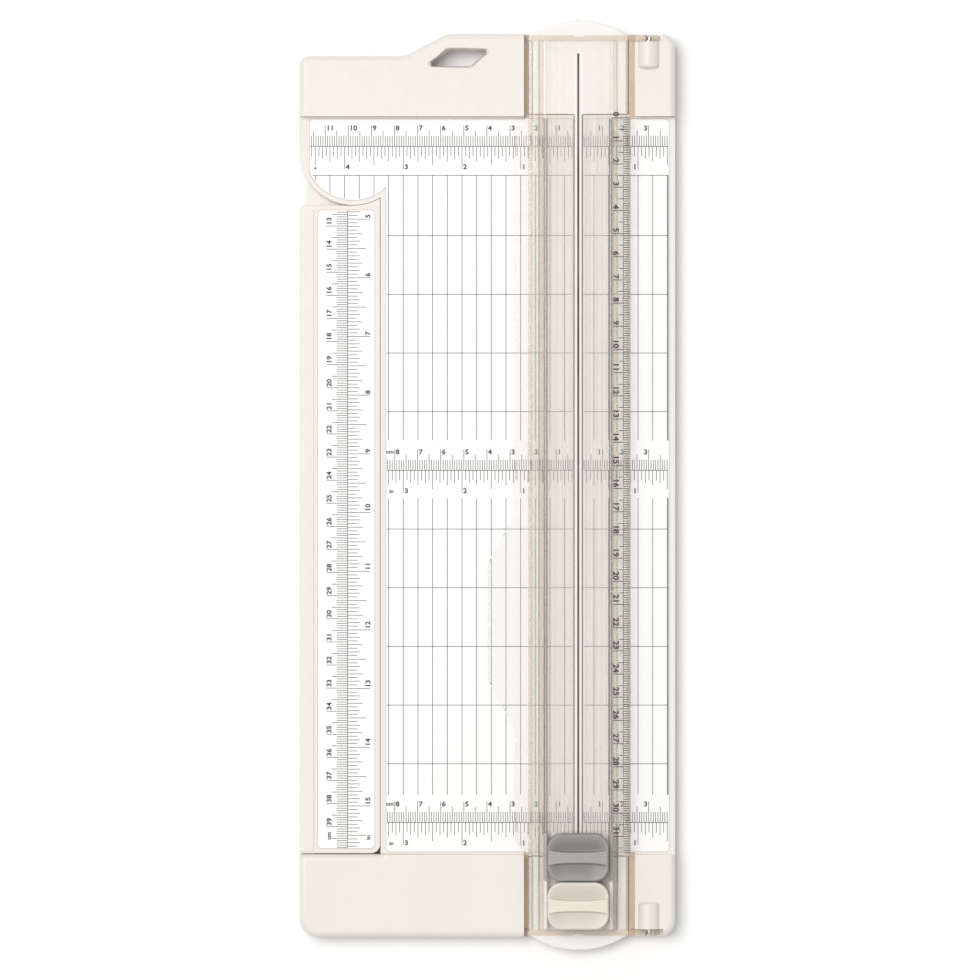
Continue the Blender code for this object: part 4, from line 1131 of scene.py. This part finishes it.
def end_plate(end, sign):
    """The plate across a rail end, with a notch at the cut line and the hinge eye at its right."""
    low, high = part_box(f"rail_end_plate_{end}")
    corners = [
        (rail_right, rail_low.z),
        (rail_left, rail_low.z, END_PLATE_ROUNDS[0]),
        (rail_left, rail_high.z, END_PLATE_ROUNDS[1]),
        (rail_right, rail_high.z),
        *arc((hinge_x, hinge_z), EYE_RADIUS, radians(80), radians(-100)),
    ]
    plate = prism(f"end_plate_{end}", rounded(corners), low.y, high.y, upright=True)
    start, stop = (hinge_x, low.y - THROUGH, hinge_z), (hinge_x, high.y + THROUGH, hinge_z)
    bore = rod("eye_bore", pin_radius + GAP, start, stop)
    outer = high.y if sign > 0 else low.y
    ys = sorted((outer - sign * END_NOTCH_DEPTH, outer + sign * THROUGH))
    notch = block(
        "notch",
        (cut_x - END_NOTCH_HALF, ys[0], rail_low.z + END_NOTCH_SILL),
        (cut_x + END_NOTCH_HALF, ys[1], rail_high.z + THROUGH),
    )
    cut(plate, bore, notch)
    soften(plate, BROAD_EDGE, 3)
    return settle(plate, "rail", "clear_plastic", end_clear, f"rail_end_plate_{end}")


def hinge_pin(end):
    low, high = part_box(f"hinge_pin_{end}")
    start, stop = (hinge_x, low.y, hinge_z), (hinge_x, high.y, hinge_z)
    pin = rod(f"pin_{end}", (high.x - low.x) / 2, start, stop, PIN_END_ROUND)
    return settle(pin, "rail", "steel", pin_steel, f"hinge_pin_{end}")


def grip_strip(side):
    """The rubber strip under a track wall, rounded where it meets the paper."""
    low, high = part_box(f"grip_strip_{side}")
    foot = [(x, low.z, GRIP_STRIP_ROUND) for x in (low.x, high.x)]
    section = [(low.x, high.z), *foot, (high.x, high.z)]
    made = prism(f"rubber_{side}", rounded(section), low.y, high.y, upright=True)
    return settle(made, "rail", "grip_rubber", grip_grey, f"grip_strip_{side}")


# ---- carriages ----


def ridge_half(u):
    """Half the ridge's length, of the pad's half length: it widens towards the pad's sides."""
    return RIDGE_HALF + RIDGE_SPREAD * abs(u) ** 3


def pad_top(u, v, half_x, half_y, top):
    """A point on a pad's top, for u across and v along it, both from -1 to 1."""
    ridge = ridge_half(u)
    dish = 0.0
    share = (abs(v) - ridge) / (1 - ridge)
    if share > 0:
        step = min(1.0, share / DISH_DROP)
        step = step * step * (3 - 2 * step)
        lens = max(0.0, 1 - abs(u) ** 5)
        dish = DISH_DEPTH * step * (1 - DISH_RISE * share**1.3) * lens
    y = v * half_y
    over = max(0.0, abs(y) - (half_y - PAD_CORNER))
    width = half_x - PAD_CORNER + sqrt(max(0.0, PAD_CORNER**2 - over**2))
    x = u * width
    corner_x = max(0.0, abs(x) - (half_x - PAD_CORNER))
    if corner_x and over:
        inward = PAD_CORNER - hypot(corner_x, over)
    else:
        inward = min(half_x - abs(x), half_y - abs(y))
    near = max(0.0, PAD_EDGE_ROUND - inward)
    fillet = PAD_EDGE_ROUND - sqrt(max(0.0, PAD_EDGE_ROUND**2 - near**2))
    grooves = 0.0
    if abs(v) < ridge * 0.8 and abs(u) > GRIP_GROOVE_START:
        fade = min(1.0, (abs(u) - GRIP_GROOVE_START) / 0.2)
        grooves = GRIP_GROOVE_DEPTH * (0.5 + 0.5 * cos(v / ridge * 3 * pi)) * fade
    return x, y, top - MARK_HEIGHT - max(dish + fillet, grooves)


def pad(kind, body, material, slot):
    """A finger pad: two dishes with a ridge between them, on straight sides with a round rim."""
    low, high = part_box(f"{kind}_pad")
    center = (low + high) / 2
    half_x, half_y = (high.x - low.x) / 2, (high.y - low.y) / 2
    columns = [sin(pi / 2 * (2 * i / PAD_COLUMNS - 1)) for i in range(PAD_COLUMNS + 1)]
    bm = bmesh.new()
    grid = []
    for u in columns:
        ridge = ridge_half(u)
        rows = [ridge + (1 - ridge) * (1 - cos(pi * j / DISH_ROWS)) / 2 for j in range(DISH_ROWS + 1)]
        middle = [ridge * (2 * j / RIDGE_ROWS - 1) for j in range(1, RIDGE_ROWS)]
        vs = [-v for v in reversed(rows)] + middle + rows
        line = []
        for v in vs:
            x, y, z = pad_top(u, v, half_x, half_y, high.z)
            line.append(bm.verts.new((center.x + x, center.y + y, z)))
        grid.append(line)
    for left, right in zip(grid, grid[1:]):
        for a, b, c, d in zip(left, right, right[1:], left[1:]):
            bm.faces.new((a, b, c, d))
    rim = [e for e in bm.edges if e.is_boundary]
    grown = bmesh.ops.extrude_edge_only(bm, edges=rim)
    skirt = [part for part in grown["geom"] if isinstance(part, bmesh.types.BMVert)]
    for vertex in skirt:
        vertex.co.z = low.z
    bmesh.ops.contextual_create(bm, geom=skirt + [e for e in bm.edges if e.is_boundary])
    made = new_object(f"{kind}_finger_pad", bm)
    return settle(made, body, slot, material, f"{kind}_pad")


def pad_mark(kind, body, material, slot):
    """The raised mark in a ridge's middle: a triangle on the cutter, a dot on the scorer."""
    place, top = node_center(f"{kind}_pad"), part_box(f"{kind}_pad")[1].z
    if kind == "cutter":
        outline = [(place.x + x, place.y + y) for x, y in MARK_TRIANGLE]
    else:
        outline = arc((place.x, place.y), MARK_DOT_RADIUS, 0, 2 * pi)[:-1]
    mark = prism(f"{kind}_mark", outline, top - 3 * MARK_HEIGHT, top)
    round_rim(mark, MARK_HEIGHT / 2, 2)
    return settle(mark, body, slot, material)


def shoe(kind, body, material, slot):
    """The slider in the track, with its holder's window, spring wells and side runners."""
    low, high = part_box(f"{kind}_shoe")
    holder_low, holder_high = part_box(f"{kind}_holder")
    pad_low, pad_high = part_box(f"{kind}_pad")
    inset, gap, middle = SHOE_INSET, SHOE_WINDOW_GAP, (low.y + high.y) / 2
    outline = rectangle(pad_low.x + inset, low.y, pad_high.x - inset, high.y, PAD_CORNER - inset)
    made = prism(f"{kind}_slider", outline, low.z, high.z)
    web_low = (low.x + inset, middle - WEB_HALF, low.z + inset)
    extras = [block("web", web_low, (high.x - inset, middle + WEB_HALF, high.z - inset))]
    for start, stop in ((low.x, low.x + RUNNER_WIDTH), (high.x - RUNNER_WIDTH, high.x)):
        extras.append(prism("runner", rectangle(start, low.y, stop, high.y, 0.0004), low.z, high.z))
    add(made, *extras)
    window_low = (holder_low.x - gap, holder_low.y - 2 * gap, low.z - THROUGH)
    window_high = (holder_high.x + gap, holder_high.y + 2 * gap, high.z + THROUGH)
    cutters = [block("window", window_low, window_high)]
    for side in ("left", "right"):
        x, seat = node_center(f"{kind}_spring_{side}").x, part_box(f"{kind}_spring_{side}")[0].z - GAP
        cutters.append(rod("well", WELL_RADIUS, (x, middle, seat), (x, middle, high.z + THROUGH)))
    cut(made, *cutters)
    soften(made, BROAD_EDGE, 3)
    return settle(made, body, slot, material, f"{kind}_shoe")


def holder(kind, body, material, slot, tool_node):
    """The block under a pad that grips its tool, softened and with a slit."""
    low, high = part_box(f"{kind}_holder")
    tool_low, tool_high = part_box(tool_node)
    outline = rectangle(low.x, low.y, high.x, high.y, 0.0008)
    made = prism(f"{kind}_grip_block", outline, low.z, high.z)
    slit_low = (tool_low.x - GAP, tool_low.y - GAP, low.z - THROUGH)
    slit_high = (tool_high.x + GAP, tool_high.y + GAP, tool_high.z + GAP)
    cut(made, block("slit", slit_low, slit_high))
    soften(made, 0.0002, 2)
    return settle(made, body, slot, material, f"{kind}_holder")


def coil(kind, side, body):
    """A coil spring with closed end turns."""
    node = f"{kind}_spring_{side}"
    low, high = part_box(node)
    center = (low + high) / 2
    radius = (high.x - low.x) / 2 - SPRING_WIRE
    bottom, top = low.z + SPRING_WIRE, high.z - SPRING_WIRE
    curve = bpy.data.curves.new(node, "CURVE")
    curve.dimensions = "3D"
    curve.bevel_depth = SPRING_WIRE * 0.97
    curve.bevel_resolution = 3
    curve.use_fill_caps = True
    line = curve.splines.new("POLY")
    per_turn, turns = 28, SPRING_TURNS + 1
    line.points.add(per_turn * turns)
    for i, point in enumerate(line.points):
        share = i / (per_turn * turns)
        rise = min(1.0, max(0.0, (share - 0.1) / 0.8))
        angle = 2 * pi * turns * share
        z = bottom + (top - bottom) * (0.06 * share + 0.94 * rise)
        point.co = (center.x + radius * cos(angle), center.y + radius * sin(angle), z, 1)
    guide = placed(node, curve)
    bm = bmesh.new()
    bm.from_mesh(as_shown(guide))
    bpy.data.objects.remove(guide)
    made = settle(new_object(f"{kind}_coil_{side}", bm), body, "steel", pin_steel, node, angle=60)
    press = next(j for j in frame["record"]["behaviour"]["joints"] if j["name"] == f"{kind}_press")
    share = 1 - press["range_m"][1] / (high.z - low.z)
    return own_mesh(made)


def blade():
    """The cutting blade: a pointed plate with both slanted edges ground to the middle."""
    low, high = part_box("cutter_blade")
    y, half = (low.y + high.y) / 2, (high.y - low.y) / 2
    heel, point = low.z + TOOL_HEEL, BLADE_POINT_HALF
    side = [(y - half, high.z), (y - half, heel), (y - point, low.z)]
    side += [(2 * y - side_y, side_z) for side_y, side_z in reversed(side)]
    bm = bmesh.new()
    layers = []
    for x, shrink in ((low.x, 1), (cut_x, 0), (high.x, 1)):
        ring = []
        for py, pz in side:
            ground = BLADE_GRIND * shrink if pz < heel + 0.0001 else 0.0
            ring.append(bm.verts.new((x, py, pz + ground)))
        layers.append(ring)
    for first, second in zip(layers, layers[1:]):
        for i in range(len(side)):
            j = (i + 1) % len(side)
            bm.faces.new((first[i], first[j], second[j], second[i]))
    bm.faces.new(layers[0])
    bm.faces.new(list(reversed(layers[-1])))
    made = new_object("blade_plate", bm)
    return settle(made, "cutter_head", "steel", flat_steel, "cutter_blade", angle=15)


def scoring_tip():
    """The blunt scoring tip, rounded across its nose."""
    low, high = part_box("scorer_tip")
    y, half, nose = (low.y + high.y) / 2, (high.y - low.y) / 2, NOSE_RADIUS
    heel = low.z + TOOL_HEEL
    round_nose = arc((y, low.z + nose), nose, -pi, 0)
    side = [(y - half, high.z), (y - half, heel), *round_nose, (y + half, heel), (y + half, high.z)]
    made = prism("scoring_nose", side, low.x, high.x)
    turn = Matrix(((0, 0, 1, 0), (1, 0, 0, 0), (0, 1, 0, 0), (0, 0, 0, 1)))
    made.data.transform(turn)
    soften(made, 0.00012, 2)
    return settle(made, "scorer_head", "pale_plastic", pale, "scorer_tip")


def carriages():
    kinds = (
        ("cutter", grey, grey_slider, "grey_plastic", "cutter_blade"),
        ("scorer", pale, pale_slider, "pale_plastic", "scorer_tip"),
    )
    for kind, material, slider, slot, tool in kinds:
        slide, head = f"{kind}_carriage", f"{kind}_head"
        pad(kind, head, material, slot)
        pad_mark(kind, head, material, slot)
        shoe(kind, slide, slider, slot)
        holder(kind, head, material, slot, tool)
        for side in ("left", "right"):
            coil(kind, side, slide)
    blade()
    scoring_tip()


# ---- feet and pivot screw ----


def foot(node, body):
    """A stick-on foot: a low dome with a moulded ring."""
    low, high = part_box(node)
    center = node_center(node)
    radius, rim, dip = (high.x - low.x) / 2, FOOT_RIM_ROUND, low.z + FOOT_DIP
    profile = [(0, dip), (radius * 0.45, dip), (radius * 0.50, low.z), (radius * 0.80, low.z)]
    profile += arc((radius - rim, low.z + rim), rim, -pi / 2, 0)
    profile += [(radius, high.z), (0, high.z)]
    made = turned(f"{node}_pad", profile)
    made.data.transform(Matrix.Translation((center.x, center.y, 0)))
    return settle(made, body, "foot_rubber", foot_black, node)


def pivot_screw():
    """A pan-head screw with a cross recess."""
    low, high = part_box("pivot_screw")
    pivot = Matrix.Translation((pivot_x, pivot_y, 0))
    head_radius, shank = (high.x - low.x) / 2, SCREW_SHANK_RADIUS
    head_top = low.z + SCREW_HEAD_HEIGHT
    profile = [
        (0, high.z),
        (shank * 0.8, high.z),
        (shank, high.z - 0.0004),
        (shank, head_top),
        (head_radius, head_top, 0.0001),
        (head_radius, low.z + 0.0005, 0.0004),
        (head_radius * 0.75, low.z),
        (0, low.z),
    ]
    made = turned("pivot_screw_fine", rounded(profile))
    made.data.transform(pivot)
    reach, half = CROSS_REACH, CROSS_HALF_WIDTH
    arms = []
    for turn in (0, pi / 2):
        slab = block("cross", (-reach, -half, low.z - THROUGH), (reach, half, low.z + CROSS_DEPTH))
        slab.data.transform(pivot @ Matrix.Rotation(turn, 4, "Z"))
        arms.append(slab)
    cut(made, *arms)
    return settle(made, "base", "steel", flat_steel, "pivot_screw")


def pivot_washer():
    low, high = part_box("pivot_washer")
    radius, hole = (high.x - low.x) / 2, PIVOT_BORE_RADIUS
    profile = [(hole, high.z, 0.0001), (radius, high.z, 0.00015)]
    profile += [(x, low.z, rim) for x, _, rim in reversed(profile)]
    made = turned("pivot_washer_fine", rounded(profile), 96)
    made.data.transform(Matrix.Translation((pivot_x, pivot_y, 0)))
    return settle(made, "base", "steel", flat_steel, "pivot_washer")


# ---- printed scales ----


class Print:
    """Ink as thin raised solids, drawn in a flat frame that to_world puts on its plate."""

    glyphs = {}

    def __init__(self, to_world=None):
        self.bm = bmesh.new()
        self.to_world = to_world

    def polygon(self, corners):
        """A filled outline."""
        lows = [self.bm.verts.new(self.to_world @ Vector((x, y, -INK_SINK))) for x, y in corners]
        tops = [self.bm.verts.new(self.to_world @ Vector((x, y, INK_HEIGHT))) for x, y in corners]
        self.bm.faces.new(list(reversed(lows)))
        self.bm.faces.new(tops)
        for i in range(len(corners)):
            j = (i + 1) % len(corners)
            self.bm.faces.new((lows[i], lows[j], tops[j], tops[i]))

    def upright_line(self, x, low, high, width=TICK_WIDTH):
        self.polygon(rectangle(x - width / 2, min(low, high), x + width / 2, max(low, high)))

    def level_line(self, y, left, right, width=TICK_WIDTH):
        self.polygon(rectangle(left, y - width / 2, right, y + width / 2))

    def text(self, words, x, y, height, align="LEFT", turn=0.0):
        """Generic digits or units, with the foot of their first letter at x, y."""
        key = (words, align)
        if key not in Print.glyphs:
            Print.glyphs[key] = glyph_mesh(words, align)
        mesh = Print.glyphs[key].copy()
        ink_depth = INK_HEIGHT + INK_SINK
        place = Matrix.Translation((x, y, -INK_SINK)) @ Matrix.Rotation(turn, 4, "Z")
        mesh.transform(self.to_world @ place @ Matrix.Diagonal((height, height, ink_depth, 1)))
        self.bm.from_mesh(mesh)
        bpy.data.meshes.remove(mesh)

    def done(self, name, body, material):
        obj = written(name, self.bm)
        obj.data.materials.append(material)
        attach(obj, body)


def glyph_mesh(words, align):
    """Words as a solid one unit high and one unit deep, standing on its own foot line."""
    curve = bpy.data.curves.new("glyph", "FONT")
    curve.body = words
    curve.size = 1.40
    curve.align_x = align
    curve.resolution_u = 3
    curve.extrude = 0.5
    curve.offset = 0.048
    guide = placed("glyph", curve)
    mesh = as_shown(guide)
    bpy.data.objects.remove(guide)
    bpy.data.curves.remove(curve)
    mesh.transform(Matrix.Diagonal((DIGIT_SPREAD, 1, 1, 1)) @ Matrix.Translation((0, 0, 0.5)))
    with opened(mesh) as bm:
        bmesh.ops.remove_doubles(bm, verts=bm.verts, dist=0.0005)
        bmesh.ops.recalc_face_normals(bm, faces=bm.faces)
    return mesh


def ruler(pen, side, first, last, digits, inches, tick_width=TICK_WIDTH):
    """Centimetres above the line and inches below it, counted from zero to one side.

    side is -1 to the left or 1 to the right; first and last are the distances it covers.
    """
    pen.level_line(0, *sorted((side * first, side * last)))
    for mm in range(ceil(first * 1000), int(last * 1000) + 1):
        x = side * mm / 1000
        kind = tick_kind(mm)
        pen.upright_line(x, tick_width / 2, CM_TICKS[kind], tick_width)
        if kind == "cm" and mm // 10 in digits:
            digit(pen, str(mm // 10), x, side, CM_TICKS["cm"] - DIGIT_HEIGHT)
    for sixteenths in range(ceil(first / INCH * 16), int(last / INCH * 16) + 1):
        x = side * sixteenths * INCH / 16
        share = next(part for part in (1, 2, 4, 8, 16) if sixteenths * part % 16 == 0)
        pen.upright_line(x, -INCH_TICKS[share], -tick_width / 2, tick_width)
        if share == 1 and sixteenths // 16 in inches:
            digit(pen, str(sixteenths // 16), x, side, -INCH_TICKS[1])


def tick_kind(mm):
    return "cm" if mm % 10 == 0 else "half" if mm % 5 == 0 else "mm"


def digit(pen, words, x, side, foot):
    """A tick's number, on the side of the tick that faces zero."""
    align = "LEFT" if side < 0 else "RIGHT"
    pen.text(words, x - side * DIGIT_SIDE_GAP, foot, DIGIT_HEIGHT, align)


def deck_print():
    zero = scale_zero
    top = left_plate_high.z
    left_edge, right_edge = left_plate_low.x + PRINT_MARGIN, right_plate_high.x - PRINT_MARGIN
    near_left, near_right = left_plate_high.x - JOINT_MARGIN, right_plate_low.x + JOINT_MARGIN
    lip = plate_low_left() + LIP_MARGIN
    rows = {row: GRID_MIDDLE_Y + row * INCH for row in range(GRID_LOW_ROW, GRID_TOP_ROW + 1)}
    rows[GRID_TOP_ROW] += GRID_FRAME_RISE
    scales = {
        "top": (pivot_y + SCALE_OFFSET, left_edge, range(1, 12), range(1, 5)),
        "middle": (rows[0], lip, range(1, 9), range(1, 4)),
        "low": (rows[GRID_LOW_ROW], lip, range(1, 9), range(1, 4)),
    }
    pen = Print()
    for name, (y, left, digits, inches) in scales.items():
        pen.to_world = Matrix.Translation((zero, y, top))
        ruler(pen, -1, zero - near_left, zero - left, digits, inches)
        ruler(pen, 1, near_right - zero, right_edge - zero, digits, inches)
        if name == "top":
            # A small triangle marks four and a half inches
            mark, foot = -4.5 * INCH, -INCH_TICKS[1]
            pen.polygon([(mark - 0.0006, foot), (mark + 0.0006, foot), (mark, foot + 0.0011)])
        else:
            unit_x = UNIT_X
            pen.text("cm", unit_x, CM_TICKS["cm"] - DIGIT_HEIGHT * 0.85, DIGIT_HEIGHT * 0.8, "RIGHT")
            pen.text("in", unit_x, -INCH_TICKS[1], DIGIT_HEIGHT * 0.8, "RIGHT")
    pen.to_world = Matrix.Translation((0, 0, top))
    grid(pen, zero, rows, (near_left, near_right, lip, left_edge, right_edge))
    pen.done("deck_print", "base", label_ink)


def grid(pen, zero, rows, edges):
    """Quarter-inch lines along the deck, and inch lines across it."""
    near_left, near_right, lip, left_edge, right_edge = edges
    frame_y = rows[GRID_TOP_ROW]
    above, below = GRID_BREAK[1], GRID_BREAK[0]
    spans = ((rows[0] + above, frame_y), (rows[GRID_LOW_ROW] + below, rows[0] - below))
    quarter = INCH / 4
    for step in range(-18, 7):
        x = zero + step * quarter
        if near_left < x < near_right:
            continue
        if x > lip:
            for low, high in spans:
                pen.upright_line(x, low, high, GRID_WIDTH)
        elif x > left_edge:
            # These stop at the pivot's round corner
            radius = PIVOT_RADIUS - PIVOT_LIP - PRINT_MARGIN
            pen.upright_line(x, pivot_y - sqrt(radius**2 - (x - pivot_x) ** 2), frame_y, GRID_WIDTH)
    pen.upright_line(right_edge, spans[0][0], frame_y, GRID_WIDTH)
    pen.upright_line(right_edge, *spans[1], GRID_WIDTH)
    for row, y in rows.items():
        if row in (0, GRID_LOW_ROW):
            continue
        left = left_edge + 0.0010 if row == GRID_TOP_ROW else lip
        pen.level_line(y, left, near_left, GRID_WIDTH)
        pen.level_line(y, near_right, right_edge, GRID_WIDTH)


def arm_print():
    """The arm's scale, drawn where it lies with the arm swung out, then turned back to rest."""
    zero = scale_zero
    pivot = Matrix.Translation((pivot_x, pivot_y, arm_plate_high.z))
    swung = Matrix.Translation((zero - pivot_x, SCALE_OFFSET, 0))
    pen = Print(pivot @ Matrix.Rotation(pi / 2, 4, "Z") @ swung)
    reach = zero - pivot_x
    first = reach + pivot_y - arm_plate_high.y + LIP_MARGIN
    last = reach + pivot_y - arm_plate_low.y - LIP_MARGIN
    ruler(pen, -1, first, last, range(13, 40), range(5, 16))
    unit_x = ARM_UNIT_ASIDE - last
    pen.text("cm", unit_x, CM_TICKS["cm"] - DIGIT_HEIGHT * 0.9, DIGIT_HEIGHT * 0.85)
    pen.text("in", unit_x, -INCH_TICKS[1], DIGIT_HEIGHT * 0.85)
    pen.done("arm_print", "arm", label_ink)


def rail_print():
    """Centimetres printed on top of the rail's right ledge, counted down from the deck's top."""
    zero = plate_half_length
    right = rail_right - RAIL_ROUND * 0.4
    starts = {kind: right - long for kind, long in RAIL_TICKS.items()}
    pen = Print(Matrix.Translation((0, 0, rail_high.z)))
    for mm in range(0, round(2 * zero * 1000) + 1):
        y = zero - mm / 1000
        kind = tick_kind(mm)
        pen.level_line(y, starts[kind], right, RAIL_TICK_WIDTH)
        if kind == "cm":
            words = str(mm // 10)
            pen.text(words, starts["cm"] + 0.0001, y + 0.0006, RAIL_DIGIT_HEIGHT, "RIGHT", -pi / 2)
    pen.done("rail_print", "rail", rail_ink)


# ---- floor, light and camera ----


def stage():
    floor = block("floor", (-3.0, -3.0, -0.02), (3.0, 3.0, 0.0))
    g = Graph("studio_floor")
    mottle = g.noise(6, 3)
    tone = g.blend(g.spread(mottle, 0.0, 1.0), (0.93, 0.93, 0.93), (0.94, 0.94, 0.94))
    shader = g.node("ShaderNodeBsdfPrincipled", {"Base Color": tone, "Roughness": 0.7})
    floor.data.materials.append(g.finish(shader.outputs[0]))
    world = bpy.data.worlds.new("studio")
    bpy.context.scene.world = world
    world.use_nodes = True
    background = world.node_tree.nodes["Background"]
    background.inputs["Color"].default_value = (1.0, 0.998, 0.992, 1)
    background.inputs["Strength"].default_value = WORLD_STRENGTH
    soft_box("key_light", KEY_PLACE, KEY_SIZE, KEY_POWER)


def soft_box(name, place, size, power):
    light = bpy.data.lights.new(name, "AREA")
    light.shape = "SQUARE"
    light.size = size
    light.energy = power
    lamp = placed(name, light)
    lamp.location = place
    lamp.rotation_euler = Vector(place).to_track_quat("Z", "Y").to_euler()


def camera():
    lens = bpy.data.cameras.new("camera")
    lens.sensor_width = SENSOR
    lens.lens = SENSOR * VIEW_DISTANCE / VIEW_WIDTH
    lens.clip_end = 10 * VIEW_DISTANCE
    eye = placed("camera", lens)
    eye.location = (*VIEW_CENTER, VIEW_HEIGHT + VIEW_DISTANCE)
    bpy.context.scene.camera = eye


def main():
    camera()
    base_body()
    printed_plates()
    strip()
    arm_body()
    rail_body()
    rail_shade_sheet()
    for end, sign in (("top", 1), ("low", -1)):
        end_plate(end, sign)
        hinge_pin(end)
    for side in ("left", "right"):
        grip_strip(side)
    carriages()
    for node in frame["nodes"]:
        if node.startswith("foot_"):
            foot(node, "base")
        elif node.startswith("arm_foot_"):
            foot(node, "arm")
    pivot_screw()
    pivot_washer()
    deck_print()
    arm_print()
    rail_print()
    stage()
    bpy.context.scene.view_settings.view_transform = "Standard"
    bpy.context.scene.cycles.transparent_max_bounces = 32
    bpy.context.scene.cycles.sample_clamp_indirect = 2.0


main()
